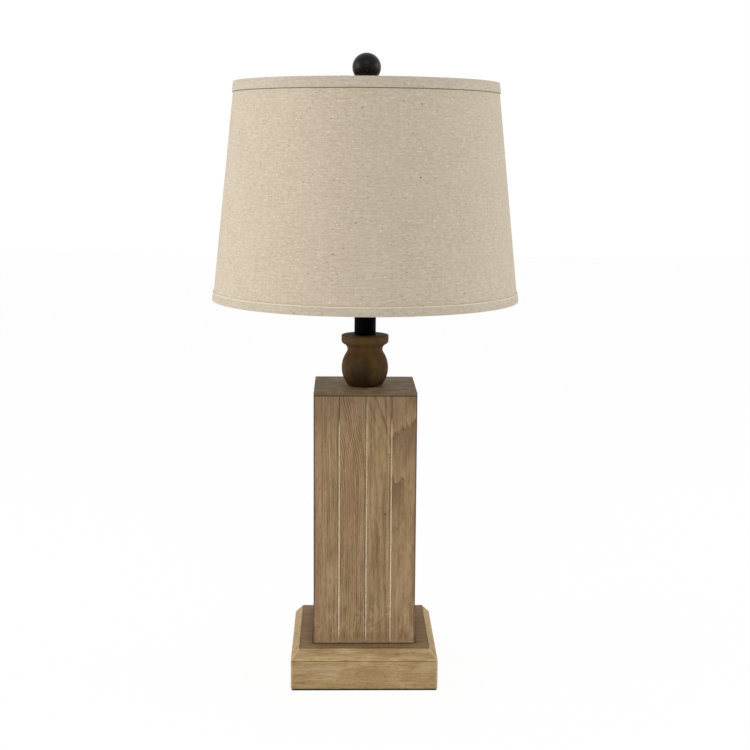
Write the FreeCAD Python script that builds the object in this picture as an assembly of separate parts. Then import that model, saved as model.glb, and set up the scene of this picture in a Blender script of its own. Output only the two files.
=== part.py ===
import FreeCAD, Part
import math
import os

# Column table lamp: a square plinth, a hollow column of planks, a turned neck, a socket with
# its bulb inside a harp, and a tapered linen shade held by a ball finial.
# Millimetres, +Z up, the origin on the table under the middle of the base, the front at -Y.

Vector = FreeCAD.Vector

# Fits between neighbouring pieces
glue_gap = 0.05
pipe_clearance = 0.3
running_clearance = 0.2

# Base
base_width = 158.0
felt_thickness = 1.5
felt_inset = 1.0
rail_height = 31.5
rail_thickness = 16.0
plate_lip = 1.0
bevel_height = 11.0
bevel_width = 9.0
bottom_panel_thickness = 4.0
corner_block_width = 18.0
panel_screw_radius = 1.75
panel_screw_head_radius = 3.5
panel_screw_head_height = 2.0
panel_screw_length = 16.0
cord_bore_radius = 4.0
bushing_wall = 2.0
bushing_flange_radius = 9.0
bushing_flange_thickness = 1.6
cord_outlet_height = 17.0

# Column: the plank widths run from left to right on each face
plank_1_width = 27.4
plank_2_width = 29.2
plank_3_width = 26.5
plank_4_width = 26.9
plank_thickness = 9.0
column_height = 276.0
cap_thickness = 2.5
end_block_thickness = 15.0
groove_chamfer = 1.2
end_chamfer = 0.7
corner_easing = 0.8

# Turned neck: three tangent curves, the bulb, the waist and the ovolo under the rim
neck_bulb_radius = 25.4
neck_bulb_curve = 29.8
neck_bulb_height = 19.5
neck_waist_radius = 19.2
neck_waist_curve = 6.5
neck_rim_radius = 25.7
neck_rim_curve = 4.2
neck_rim_height = 6.0
neck_arris = 1.0
tube_seat_depth = 2.0

# Threaded pipe and what it clamps
pipe_radius = 5.0
pipe_bore_radius = 3.6
pipe_tail = 5.0
pipe_washer_radius = 15.0
pipe_washer_thickness = 1.6
pipe_nut_width = 16.0
pipe_nut_thickness = 5.5
tube_radius = 11.7
tube_wall = 1.2
tube_exposed_length = 48.9
check_ring_radius = 12.6
check_ring_thickness = 1.5
check_ring_spigot = 2.5

# Harp saddle and its nut
saddle_thickness = 1.6
saddle_width = 12.0
saddle_bend = 3.0
ear_inner_reach = 28.0
ear_shoulder_height = 4.0
tongue_width = 4.0
tongue_height = 15.0
saddle_nut_width = 14.0
saddle_nut_thickness = 3.5

# Harp
harp_height = 201.9
harp_wire_radius = 1.6
harp_belly_reach = 57.0
harp_flare_height = 78.0
harp_flare_curve = 55.0
harp_shoulder_curve = 46.0
harp_plate_length = 26.0
harp_plate_width = 9.0
harp_plate_thickness = 2.2
foot_wall = 0.8
foot_height = 20.0
sleeve_length = 16.0
sleeve_wall = 0.8
sleeve_travel = 15.0
stud_radius = 3.1
stud_length = 13.0
stud_disc_radius = 8.0
stud_disc_thickness = 2.0
rivet_radius = 2.4
rivet_head_radius = 4.0
rivet_head_height = 1.2

# Socket
socket_hub_radius = 8.0
socket_hub_height = 7.0
socket_radius = 16.1
socket_sheet = 0.6
socket_cap_flare = 8.0
socket_cap_lip = 6.0
socket_shell_height = 43.0
socket_overlap = 4.0
socket_bead = 0.8
core_radius = 14.9
core_height = 15.0
core_step_radius = 11.0
core_step_height = 3.0
screw_shell_radius = 14.0
screw_shell_wall = 0.4
screw_shell_height = 23.0
contact_radius = 4.5
contact_height = 2.4
knob_radius = 7.0
knob_length = 11.0
knob_grooves = 14
knob_groove_radius = 0.9
knob_reach = 29.0
knob_stem_radius = 2.2
knob_stem_seat = 5.0
knob_height = 8.0

# Bulb
bulb_radius = 30.0
bulb_neck_radius = 12.2
bulb_flare_curve = 25.0
bulb_neck_height = 13.5
bulb_glass_wall = 0.9
bulb_glass_seat = 8.0
bulb_cap_radius = 13.1
bulb_cap_wall = 0.6
bulb_cap_height = 22.0
bulb_tip_radius = 4.6
bulb_tip_height = 2.6
bulb_insulator_height = 3.2

# Shade
shade_top_radius = 139.6
shade_bottom_radius = 164.2
shade_height = 229.4
fabric_thickness = 0.5
liner_thickness = 0.7
trim_thickness = 0.9
top_band = 10.6
bottom_band = 9.6
trim_tuck = 9.0
ring_wire_radius = 1.3
spider_drop = 13.0
spider_arms = 3
spider_wire_radius = 1.6
spider_washer_radius = 13.0
spider_washer_hole = 5.6
spider_washer_thickness = 1.5
spider_flat_reach = 42.0
spider_shelf = 16.0
spider_curve = 18.0

# Finial
finial_ball_radius = 15.2
finial_stem_height = 16.0
finial_stem_radius = 6.0
finial_flange_radius = 8.5
finial_flange_height = 2.2
insert_radius = 4.6
insert_length = 13.0

# Sizes and heights that follow from the ones above
rail_bottom = felt_thickness
rail_top = rail_bottom + rail_height
plate_thickness = plate_lip + bevel_height
base_top = rail_top + plate_thickness
cavity_width = base_width - 2 * rail_thickness
panel_top = rail_bottom + bottom_panel_thickness

plank_widths = (plank_1_width, plank_2_width, plank_3_width, plank_4_width)
column_width = sum(plank_widths)
column_half = column_width / 2
column_top = base_top + column_height
plank_length = column_height - cap_thickness
plank_top = base_top + plank_length
core_width = column_width - 2 * plank_thickness

pipe_hole = pipe_radius + pipe_clearance
bulb_curve_x = neck_bulb_radius - neck_bulb_curve
waist_curve_x = neck_waist_radius + neck_waist_curve
rim_curve_x = neck_rim_radius - neck_rim_curve
waist_curve_z = neck_bulb_height + math.sqrt(
    (neck_bulb_curve + neck_waist_curve) ** 2 - (waist_curve_x - bulb_curve_x) ** 2)
rim_curve_z = waist_curve_z + math.sqrt(
    (neck_waist_curve + neck_rim_curve) ** 2 - (waist_curve_x - rim_curve_x) ** 2)
neck_top = column_top + rim_curve_z + neck_rim_height

tube_bottom = neck_top - tube_seat_depth
tube_top = neck_top + tube_exposed_length
saddle_bottom = tube_top + check_ring_thickness
saddle_top = saddle_bottom + saddle_thickness
ear_shoulder = saddle_top + ear_shoulder_height
ear_outer_reach = ear_inner_reach + saddle_thickness
tongue_top = ear_shoulder + tongue_height
socket_bottom = saddle_top + saddle_nut_thickness
pipe_top = socket_bottom + socket_hub_height
nut_bottom = rail_top - pipe_washer_thickness - pipe_nut_thickness
washer_bottom = nut_bottom + pipe_nut_thickness
pipe_bottom = nut_bottom - pipe_tail

# The harp's leg, its foot round the tongue and the sleeve round both
tongue_gap = 0.1
foot_inner_reach = ear_outer_reach + tongue_gap
foot_outer_reach = foot_inner_reach + foot_wall
foot_half_width = tongue_width / 2 + tongue_gap + foot_wall
leg_reach = foot_outer_reach - harp_wire_radius / 8
sleeve_reach = (ear_inner_reach + leg_reach + harp_wire_radius) / 2
foot_corner = max(sleeve_reach - ear_inner_reach, foot_outer_reach - sleeve_reach)
sleeve_bore = math.hypot(foot_corner, foot_half_width) + running_clearance
harp_top = saddle_top + harp_height
harp_axis_top = harp_top - stud_disc_thickness - harp_plate_thickness / 2
flare_bottom = ear_shoulder + sleeve_length + sleeve_travel

# Socket and bulb heights
cap_top = pipe_top + socket_cap_flare + socket_cap_lip
shell_bottom = cap_top - socket_overlap
shell_top = shell_bottom + socket_shell_height
core_bottom = shell_bottom + 2 * socket_sheet
core_top = core_bottom + core_height
knob_axis = core_bottom + knob_height
contact_top = core_top + core_step_height + contact_height
bulb_bottom = contact_top + glue_gap
bulb_cap_bottom = bulb_bottom + bulb_tip_height + bulb_insulator_height
bulb_cap_top = bulb_cap_bottom + bulb_cap_height

# Shade heights
washer_top = harp_top + spider_washer_thickness
shade_top = washer_top + spider_drop
shade_bottom = shade_top - shade_height
fabric_top = shade_top - trim_thickness - glue_gap
fabric_bottom = shade_bottom + trim_thickness + glue_gap
wall_thickness = fabric_thickness + glue_gap + liner_thickness
spider_ring_height = fabric_top - ring_wire_radius
ball_centre = washer_top + finial_stem_height - finial_flange_height + finial_ball_radius


# An open or closed line of straight runs in the XZ plane, each corner (x, z, radius) rounded
def rounded_line(corners, closed):
    count = len(corners)
    edges = []
    ends = []
    for i, (x, z, radius) in enumerate(corners):
        here = Vector(x, 0, z)
        at_end = not closed and i in (0, count - 1)
        if radius == 0 or at_end:
            ends.append((here, here, None))
            continue
        before = Vector(corners[i - 1][0], 0, corners[i - 1][1]) - here
        after = Vector(corners[(i + 1) % count][0], 0, corners[(i + 1) % count][1]) - here
        before.normalize()
        after.normalize()
        half_angle = before.getAngle(after) / 2
        cut_back = radius / math.tan(half_angle)
        middle = (before + after).normalize()
        bulge = here + middle * (radius / math.sin(half_angle) - radius)
        ends.append((here + before * cut_back, here + after * cut_back, bulge))
    for i, (start, finish, bulge) in enumerate(ends):
        if bulge is not None:
            edges.append(Part.Arc(start, bulge, finish).toShape())
        if closed or i < count - 1:
            following = ends[(i + 1) % count][0]
            if (following - finish).Length > 1e-6:
                edges.append(Part.LineSegment(finish, following).toShape())
    return Part.Wire(edges)


def outline(*corners):
    return Part.Face(rounded_line(corners, True))


def spin(face):
    return face.revolve(Vector(0, 0, 0), Vector(0, 0, 1), 360)


def block(width, depth, height, z, x=0.0, y=0.0):
    corner = Vector(x - width / 2, y - depth / 2, z)
    return Part.makeBox(width, depth, height, corner)


def disc(radius, height, z, x=0.0, y=0.0):
    return Part.makeCylinder(radius, height, Vector(x, y, z))


def ring(outer, inner, height, z):
    return disc(outer, height, z).cut(disc(inner, height, z))


def turned_about_z(shape, angle):
    turned = shape.copy()
    turned.rotate(Vector(0, 0, 0), Vector(0, 0, 1), angle)
    return turned


# A face in the XY plane at height z, pulled up
def raised(points, z, height):
    loop = [Vector(x, y, z) for x, y in points]
    return Part.Face(Part.makePolygon(loop + loop[:1])).extrude(Vector(0, 0, height))


def hex_nut(width, thickness, hole, z):
    corner = width / math.sqrt(3)
    points = [(corner * math.cos(a * math.pi / 3), corner * math.sin(a * math.pi / 3)) for a in range(6)]
    crown = corner - width / 2
    envelope = spin(outline((0, z, 0), (corner - crown, z, 0), (corner, z + crown / 2, 0),
                            (corner, z + thickness - crown / 2, 0), (corner - crown, z + thickness, 0),
                            (0, z + thickness, 0)))
    return raised(points, z, thickness).common(envelope).cut(disc(hole, thickness, z))


# ---- base ----

def felt_pad():
    width = base_width - 2 * felt_inset
    return block(width, width, felt_thickness, 0)


def screw_place():
    return cavity_width / 2 - corner_block_width / 2


# One screw under each corner block, its head flush with the panel
def panel_screw(x, y, clearance=0.0):
    z = rail_bottom
    head = panel_screw_head_radius + clearance
    shank = panel_screw_radius + clearance
    neck = z + panel_screw_head_height
    screw = spin(outline((0, z, 0), (head, z, 0), (shank, neck, 0),
                         (shank, z + panel_screw_length, 0), (0, z + panel_screw_length, 0)))
    screw.translate(Vector(x, y, 0))
    return screw


def at_corners(make, *sizes):
    place = screw_place()
    return [make(x, y, *sizes) for x in (-place, place) for y in (-place, place)]


def bottom_panel():
    width = cavity_width - 2 * glue_gap
    panel = block(width, width, bottom_panel_thickness, rail_bottom)
    return panel.cut(Part.makeCompound(at_corners(panel_screw, glue_gap)))


def corner_block(x, y):
    height = rail_top - panel_top
    solid = block(corner_block_width, corner_block_width, height, panel_top, x, y)
    return solid.cut(panel_screw(x, y, glue_gap))


# A rail of the plinth, mitred at both ends, seen from the front and turned to its side
def base_rail(angle):
    outer = base_width / 2
    inner = cavity_width / 2
    points = [(-outer, -outer), (outer, -outer), (inner, -inner), (-inner, -inner)]
    return turned_about_z(raised(points, rail_bottom, rail_height), angle)


def bushing_radius():
    return cord_bore_radius + bushing_wall


def back_rail():
    start = Vector(0, cavity_width / 2, cord_outlet_height)
    hole = Part.makeCylinder(bushing_radius() + glue_gap, rail_thickness, start, Vector(0, 1, 0))
    return base_rail(180).cut(hole)


# Flanged bush through the back rail, where the cord comes out
def cord_bushing():
    back = base_width / 2
    flange_top = back + bushing_flange_thickness
    body = spin(outline((cord_bore_radius, cavity_width / 2, 0.5), (bushing_radius(), cavity_width / 2, 0.5),
                        (bushing_radius(), back, 0), (bushing_flange_radius, back, 0),
                        (bushing_flange_radius, flange_top, 0.8), (cord_bore_radius, flange_top, 0.8)))
    body.rotate(Vector(0, 0, 0), Vector(1, 0, 0), -90)
    body.translate(Vector(0, 0, cord_outlet_height))
    return body


def base_plate():
    foot = base_width / 2
    head = foot - bevel_width
    lip_top = rail_top + plate_lip
    square = [(-1, -1), (1, -1), (1, 1), (-1, 1)]
    lip = raised([(foot * x, foot * y) for x, y in square], rail_top, plate_lip)
    loops = []
    for half, z in ((foot, lip_top), (head, base_top)):
        corners = [Vector(half * x, half * y, z) for x, y in square]
        loops.append(Part.makePolygon(corners + corners[:1]))
    bevel = Part.makeLoft(loops, True, True)
    return lip.fuse(bevel).removeSplitter().cut(disc(pipe_hole, plate_thickness, rail_top))


# ---- column ----

# Plan of a plank from left to right on the front face: mitred where it meets a corner of the
# column, and with its outer arris chamfered where it meets the next plank
def plank_plan(left, right):
    face = -column_half
    back = face + plank_thickness
    ease = corner_easing / 2
    if left <= -column_half + glue_gap:
        start = [(left + plank_thickness, back), (left + ease, face + ease), (left + corner_easing, face)]
    else:
        start = [(left, back), (left, face + groove_chamfer), (left + groove_chamfer, face)]
    if right >= column_half - glue_gap:
        finish = [(right - corner_easing, face), (right - ease, face + ease), (right - plank_thickness, back)]
    else:
        finish = [(right - groove_chamfer, face), (right, face + groove_chamfer), (right, back)]
    return start + finish


# The wedge that eases the outer arris of a plank's end
def end_easing(z, direction):
    face = -column_half
    points = [Vector(-column_width, face, z), Vector(-column_width, face + end_chamfer, z),
              Vector(-column_width, face, z + direction * end_chamfer)]
    return Part.Face(Part.makePolygon(points + points[:1])).extrude(Vector(2 * column_width, 0, 0))


def plank(number, angle):
    left = -column_half + sum(plank_widths[:number])
    right = left + plank_widths[number]
    solid = raised(plank_plan(left, right), base_top, plank_length)
    solid = solid.cut(end_easing(base_top, 1)).cut(end_easing(plank_top, -1))
    return turned_about_z(solid, angle)


def end_block(z):
    solid = block(core_width, core_width, end_block_thickness, z)
    return solid.cut(disc(pipe_hole, end_block_thickness, z))


# Thin lid over the ends of the planks, its lower arris eased like theirs
def column_cap():
    lid = block(column_width, column_width, cap_thickness, plank_top)
    uprights = [e for e in lid.Edges if abs(e.Vertexes[0].Z - e.Vertexes[1].Z) > cap_thickness / 2]
    lid = lid.makeChamfer(corner_easing, uprights)
    lower = [e for e in lid.Edges if all(abs(v.Z - plank_top) < glue_gap for v in e.Vertexes)]
    lid = lid.makeChamfer(end_chamfer, lower)
    return lid.cut(disc(pipe_hole, cap_thickness, plank_top))


# ---- neck ----

# Where two tangent curves meet on the line between their centres
def meeting(from_x, from_z, from_radius, to_x, to_z, to_radius):
    share = from_radius / (from_radius + to_radius)
    return Vector(from_x + (to_x - from_x) * share, 0, from_z + (to_z - from_z) * share)


def turned_neck():
    foot_radius = bulb_curve_x + math.sqrt(neck_bulb_curve ** 2 - neck_bulb_height ** 2)
    bulb_to_waist = meeting(bulb_curve_x, neck_bulb_height, neck_bulb_curve,
                            waist_curve_x, waist_curve_z, neck_waist_curve)
    waist_to_rim = meeting(waist_curve_x, waist_curve_z, neck_waist_curve,
                           rim_curve_x, rim_curve_z, neck_rim_curve)
    rim_angle = math.atan2(waist_to_rim.z - rim_curve_z, waist_to_rim.x - rim_curve_x) / 2
    rim_middle = Vector(rim_curve_x + neck_rim_curve * math.cos(rim_angle), 0,
                        rim_curve_z + neck_rim_curve * math.sin(rim_angle))
    top = rim_curve_z + neck_rim_height
    seat = tube_radius + glue_gap
    arris = neck_arris * (1 - math.sqrt(0.5))
    foot = Vector(foot_radius, 0, 0)
    rim = Vector(neck_rim_radius, 0, rim_curve_z)
    shoulder = Vector(neck_rim_radius, 0, top - neck_arris)
    brow = Vector(neck_rim_radius - neck_arris, 0, top)
    inner = [brow, Vector(seat, 0, top), Vector(seat, 0, top - tube_seat_depth),
             Vector(pipe_hole, 0, top - tube_seat_depth), Vector(pipe_hole, 0, 0), foot]
    edges = [Part.Arc(foot, Vector(neck_bulb_radius, 0, neck_bulb_height), bulb_to_waist).toShape(),
             Part.Arc(bulb_to_waist, Vector(neck_waist_radius, 0, waist_curve_z), waist_to_rim).toShape(),
             Part.Arc(waist_to_rim, rim_middle, rim).toShape(),
             Part.LineSegment(rim, shoulder).toShape(),
             Part.Arc(shoulder, Vector(neck_rim_radius - arris, 0, top - arris), brow).toShape()]
    edges += [Part.LineSegment(a, b).toShape() for a, b in zip(inner, inner[1:])]
    neck = spin(Part.Face(Part.Wire(edges)))
    neck.translate(Vector(0, 0, column_top))
    return neck


# ---- pipe and tube ----

def lamp_pipe():
    return ring(pipe_radius, pipe_bore_radius, pipe_top - pipe_bottom, pipe_bottom)


def neck_tube():
    return ring(tube_radius, tube_radius - tube_wall, tube_top - tube_bottom, tube_bottom)


# Closes the tube's top: a disc with a spigot inside the tube
def check_ring():
    spigot = tube_radius - tube_wall - glue_gap
    spigot_bottom = tube_top - check_ring_spigot
    return spin(outline((pipe_hole, spigot_bottom, 0), (spigot, spigot_bottom, 0),
                        (spigot, tube_top, 0), (check_ring_radius, tube_top, 0),
                        (check_ring_radius, saddle_bottom, 0.6), (pipe_hole, saddle_bottom, 0)))


# ---- harp ----

# A bent strip with an ear at each end, the ears cut to tongues above their shoulders
def harp_saddle():
    outer = ear_outer_reach
    inner = ear_inner_reach
    strip = outline((-outer, tongue_top, 0), (-outer, saddle_bottom, saddle_bend + saddle_thickness),
                    (outer, saddle_bottom, saddle_bend + saddle_thickness), (outer, tongue_top, 0),
                    (inner, tongue_top, 0), (inner, saddle_top, saddle_bend),
                    (-inner, saddle_top, saddle_bend), (-inner, tongue_top, 0))
    strip = strip.extrude(Vector(0, saddle_width, 0))
    strip.translate(Vector(0, -saddle_width / 2, 0))
    side = saddle_width / 2
    tongue = tongue_width / 2
    front = outline((-side, saddle_bottom, 0), (-side, ear_shoulder, 1), (-tongue, ear_shoulder, 0),
                    (-tongue, tongue_top, 1.5), (tongue, tongue_top, 1.5), (tongue, ear_shoulder, 0),
                    (side, ear_shoulder, 1), (side, saddle_bottom, 0))
    front.rotate(Vector(0, 0, 0), Vector(0, 0, 1), 90)
    front = front.extrude(Vector(2 * outer, 0, 0))
    front.translate(Vector(-outer, 0, 0))
    return strip.common(front).cut(disc(pipe_hole, saddle_thickness, saddle_bottom))


# The stamped foot of a leg: a channel that hugs the tongue and stands on its shoulders
def harp_foot():
    inner = ear_inner_reach + tongue_gap
    lip = foot_half_width - foot_wall
    points = [(inner, -foot_half_width), (foot_outer_reach, -foot_half_width),
              (foot_outer_reach, foot_half_width), (inner, foot_half_width), (inner, lip),
              (foot_inner_reach, lip), (foot_inner_reach, -lip), (inner, -lip)]
    return raised(points, ear_shoulder, foot_height)


# One bent wire from foot to foot, pressed flat in the middle of its top to take the stud
def harp_wire():
    start = tongue_top + tongue_gap
    flare_top = flare_bottom + harp_flare_height
    right = [(harp_belly_reach, harp_axis_top, harp_shoulder_curve),
             (harp_belly_reach, flare_top, harp_flare_curve),
             (leg_reach, flare_bottom, harp_flare_curve), (leg_reach, start, 0)]
    left = [(-x, z, radius) for x, z, radius in reversed(right)]
    path = rounded_line(left + right, False)
    section = Part.Wire(Part.makeCircle(harp_wire_radius, Vector(-leg_reach, 0, start), Vector(0, 0, 1)))
    wire = path.makePipeShell([section], True, False)
    half = harp_plate_thickness / 2
    press = block(harp_plate_length - harp_plate_width, 4 * harp_wire_radius,
                  harp_wire_radius, harp_axis_top + half)
    wire = wire.cut(press)
    press.translate(Vector(0, 0, -harp_plate_thickness - harp_wire_radius))
    wire = wire.cut(press)
    end = harp_plate_length / 2 - harp_plate_width / 2
    plate = block(2 * end, harp_plate_width, harp_plate_thickness, harp_axis_top - half)
    for x in (-end, end):
        plate = plate.fuse(disc(harp_plate_width / 2, harp_plate_thickness, harp_axis_top - half, x))
    foot = harp_foot()
    wire = wire.fuse([plate, foot, turned_about_z(foot, 180)])
    hole = disc(rivet_radius + glue_gap, harp_plate_thickness, harp_axis_top - half)
    return wire.removeSplitter().cut(hole)


# Threaded stud with its disc, riveted through the harp's plate
def harp_stud():
    plate_top = harp_axis_top + harp_plate_thickness / 2
    plate_bottom = plate_top - harp_plate_thickness
    stud_top = harp_top + stud_length
    return spin(outline((0, plate_bottom - rivet_head_height, 0),
                        (rivet_head_radius, plate_bottom - rivet_head_height, 0.8),
                        (rivet_head_radius, plate_bottom, 0), (rivet_radius, plate_bottom, 0),
                        (rivet_radius, plate_top, 0), (stud_disc_radius, plate_top, 0),
                        (stud_disc_radius, harp_top, 0.4), (stud_radius, harp_top, 0),
                        (stud_radius, stud_top, 0.8), (0, stud_top, 0)))


def harp_sleeve(side):
    bottom = ear_shoulder
    top = bottom + sleeve_length
    outer = sleeve_bore + sleeve_wall
    ease = sleeve_wall / 3
    sleeve = spin(outline((sleeve_bore, bottom, 0), (outer, bottom, ease), (outer, top, ease),
                          (sleeve_bore, top, 0)))
    sleeve.translate(Vector(side * sleeve_reach, 0, 0))
    return sleeve


# ---- socket ----

def socket_cap():
    hub = socket_hub_radius
    outer = socket_radius + glue_gap + socket_sheet
    inner = socket_radius + glue_gap
    bend = socket_cap_flare * 0.6
    shoulder = pipe_top + socket_cap_flare
    return spin(outline((pipe_radius + glue_gap, socket_bottom, 0), (hub, socket_bottom, 0.6),
                        (hub, pipe_top - socket_sheet, 1), (outer, shoulder - socket_sheet, bend),
                        (outer, cap_top, 0), (inner, cap_top, 0), (inner, shoulder, bend - socket_sheet),
                        (hub - socket_sheet, pipe_top, 1), (pipe_radius + glue_gap, pipe_top, 0)))


def stem_hole(radius):
    return Part.makeCylinder(radius, 2 * socket_radius, Vector(0, 0, knob_axis), Vector(0, -1, 0))


# Pressed sheet sleeve with a rolled bead at its mouth and a hole for the switch stem
def socket_shell():
    inner = socket_radius - socket_sheet
    bead = socket_radius + socket_bead
    body = spin(outline((inner, shell_bottom, 0), (socket_radius, shell_bottom, 0),
                        (socket_radius, shell_top - 3 * socket_bead, 0),
                        (bead, shell_top - 2 * socket_bead, 0.3), (bead, shell_top, 0.3), (inner, shell_top, 0)))
    return body.cut(stem_hole(knob_stem_radius + 2 * running_clearance))


# Moulded block with the switch in it, stepped to carry the screw shell and the contact
def socket_core():
    core = disc(core_radius, core_height, core_bottom)
    core = core.fuse(disc(core_step_radius, core_step_height, core_top)).removeSplitter()
    seat = core_radius - knob_stem_seat - running_clearance
    bore = Part.makeCylinder(knob_stem_radius + running_clearance, core_radius,
                             Vector(0, -seat, knob_axis), Vector(0, -1, 0))
    return core.cut(bore)


# Threaded sleeve for the bulb, turned in at its foot to sit round the core's step
def screw_shell():
    outer = screw_shell_radius
    inner = outer - screw_shell_wall
    foot = core_step_radius + glue_gap
    top = core_top + screw_shell_height
    return spin(outline((foot, core_top, 0), (outer, core_top, 0.3), (outer, top, 0), (inner, top, 0),
                        (inner, core_top + screw_shell_wall, 0), (foot, core_top + screw_shell_wall, 0)))


def centre_contact():
    bottom = core_top + core_step_height
    return spin(outline((0, bottom, 0), (contact_radius, bottom, 0), (contact_radius, bottom + 0.5, 0),
                        (contact_radius / 2, contact_top, 1), (0, contact_top, 0)))


# Grooved knob on its stem; the stem turns in the core's side
def switch_knob():
    stem_start = core_radius - knob_stem_seat
    end = knob_reach + knob_length
    knob = spin(outline((0, stem_start, 0), (knob_stem_radius, stem_start, 0),
                        (knob_stem_radius, knob_reach, 0), (knob_radius, knob_reach, 1),
                        (knob_radius, end, 1.6), (0, end, 0)))
    grooves = []
    for i in range(knob_grooves):
        angle = 2 * math.pi * i / knob_grooves
        place = Vector(knob_radius * math.cos(angle), knob_radius * math.sin(angle), knob_reach)
        grooves.append(Part.makeCylinder(knob_groove_radius, knob_length, place))
    knob = knob.cut(grooves)
    knob.rotate(Vector(0, 0, 0), Vector(1, 0, 0), 90)
    knob.translate(Vector(0, 0, knob_axis))
    return knob


# ---- bulb ----

# Half section of the glass at one offset inside its outer face, from the neck up to the pole
def bulb_curve(inset):
    neck = bulb_neck_radius - inset
    ball = bulb_radius - inset
    flare = bulb_flare_curve + inset
    neck_end = bulb_cap_top + bulb_neck_height
    flare_x = bulb_neck_radius + bulb_flare_curve
    centre = neck_end + math.sqrt((bulb_radius + bulb_flare_curve) ** 2 - flare_x ** 2)
    meet = meeting(0, centre, ball, flare_x, neck_end, flare)
    side = math.atan2(meet.z - neck_end, meet.x - flare_x)
    middle = (side + math.pi) / 2
    flare_middle = Vector(flare_x + flare * math.cos(middle), 0, neck_end + flare * math.sin(middle))
    foot = Vector(neck, 0, bulb_cap_top - bulb_glass_seat)
    start = Vector(neck, 0, neck_end)
    pole = Vector(0, 0, centre + ball)
    edges = [Part.LineSegment(foot, start).toShape(), Part.Arc(start, flare_middle, meet).toShape(),
             Part.Arc(meet, Vector(ball, 0, centre), pole).toShape()]
    return edges, foot, pole


def bulb_glass():
    outer, outer_foot, outer_pole = bulb_curve(0)
    inner, inner_foot, inner_pole = bulb_curve(bulb_glass_wall)
    closing = [Part.LineSegment(outer_pole, inner_pole).toShape(),
               Part.LineSegment(inner_foot, outer_foot).toShape()]
    edges = Part.sortEdges(outer + inner + closing)[0]
    return spin(Part.Face(Part.Wire(edges)))


def bulb_cap():
    outer = bulb_cap_radius
    inner = outer - bulb_cap_wall
    return spin(outline((bulb_tip_radius, bulb_cap_bottom, 0), (outer - 3, bulb_cap_bottom, 1),
                        (outer, bulb_cap_bottom + 3, 1), (outer, bulb_cap_top, 0), (inner, bulb_cap_top, 0),
                        (inner, bulb_cap_bottom + 3, 1), (bulb_tip_radius, bulb_cap_bottom + bulb_cap_wall, 0)))


# Insulator and tip under the cap
def bulb_contact():
    insulator = bulb_bottom + bulb_tip_height
    return spin(outline((0, bulb_bottom, 0), (bulb_tip_radius / 2, bulb_bottom, 1),
                        (bulb_tip_radius, insulator, 0.5),
                        (bulb_cap_radius - 3.5, bulb_cap_bottom, 0), (0, bulb_cap_bottom, 0)))


# ---- shade ----

# Radius of the cloth's outer face at a height
def shade_radius(z):
    share = (z - shade_bottom) / shade_height
    return shade_bottom_radius + (shade_top_radius - shade_bottom_radius) * share


def shade_wall(inset, thickness):
    corners = []
    for z, depth in ((fabric_bottom, inset), (fabric_top, inset),
                     (fabric_top, inset + thickness), (fabric_bottom, inset + thickness)):
        corners.append((shade_radius(z) - depth, z, 0))
    return spin(outline(*corners))


def ring_centre(edge, inward):
    z = edge + inward * ring_wire_radius
    return shade_radius(edge) - wall_thickness - 2 * glue_gap - 1.1 * ring_wire_radius, z


def wire_ring(edge, inward):
    radius, z = ring_centre(edge, inward)
    return Part.makeTorus(radius, ring_wire_radius, Vector(0, 0, z))


# Folded strip over a rim: down the outside, over the edge, round the wire and back to the liner
def trim(edge, rim, inward, band):
    wire_x, wire_z = ring_centre(edge, inward)
    outside = rim + inward * band
    fold = edge - inward * glue_gap
    tuck = wire_x - ring_wire_radius - glue_gap
    under = wire_z + inward * ring_wire_radius
    pinch = wire_z + inward * 3.5 * ring_wire_radius
    inside = rim + inward * trim_tuck
    liner = wall_thickness + 2 * glue_gap
    t = trim_thickness
    cloth_side = [(shade_radius(outside) + glue_gap, outside, 0), (shade_radius(edge) + glue_gap, fold, 0),
                  (tuck, fold, 0), (tuck, under, 0), (shade_radius(pinch) - liner, pinch, 0),
                  (shade_radius(inside) - liner, inside, 0)]
    open_side = [(shade_radius(inside) - liner - t, inside, 0), (shade_radius(pinch) - liner - t, pinch, 0),
                 (tuck - t, under, 0), (tuck - t, rim, t), (shade_radius(rim) + glue_gap + t, rim, t),
                 (shade_radius(outside) + glue_gap + t, outside, 0)]
    return spin(outline(*cloth_side, *open_side))


def spider_arm(angle, radius):
    ring_x, ring_z = ring_centre(fabric_top, -1)
    washer_z = washer_top - spider_washer_thickness / 2
    start = spider_washer_hole + 2 * spider_wire_radius
    path = rounded_line([(start, washer_z, 0), (spider_flat_reach, washer_z, spider_curve),
                         (ring_x - spider_shelf, ring_z, spider_curve), (ring_x, ring_z, 0)], False)
    section = Part.Wire(Part.makeCircle(radius, Vector(start, 0, washer_z), Vector(1, 0, 0)))
    return turned_about_z(path.makePipeShell([section], True, False), angle)


def arm_angles():
    return [90 + 360 * i / spider_arms for i in range(spider_arms)]


# Washer with its arms; each arm ends against the top wire ring
def spider():
    washer = ring(spider_washer_radius, spider_washer_hole, spider_washer_thickness, harp_top)
    arms = [spider_arm(angle, spider_wire_radius) for angle in arm_angles()]
    clear = disc(finial_flange_radius + 2 * running_clearance, spider_drop, washer_top)
    seat = disc(stud_disc_radius + 2 * running_clearance, spider_drop, harp_top - spider_drop)
    welded = washer.fuse([arm.cut(clear).cut(seat) for arm in arms])
    return welded.removeSplitter().cut(wire_ring(fabric_top, -1))


# The top trim is notched where each arm passes through it
def top_trim():
    folded = trim(fabric_top, shade_top, -1, top_band)
    notches = [spider_arm(angle, spider_wire_radius + glue_gap) for angle in arm_angles()]
    return folded.cut(notches)


# ---- finial ----

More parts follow.
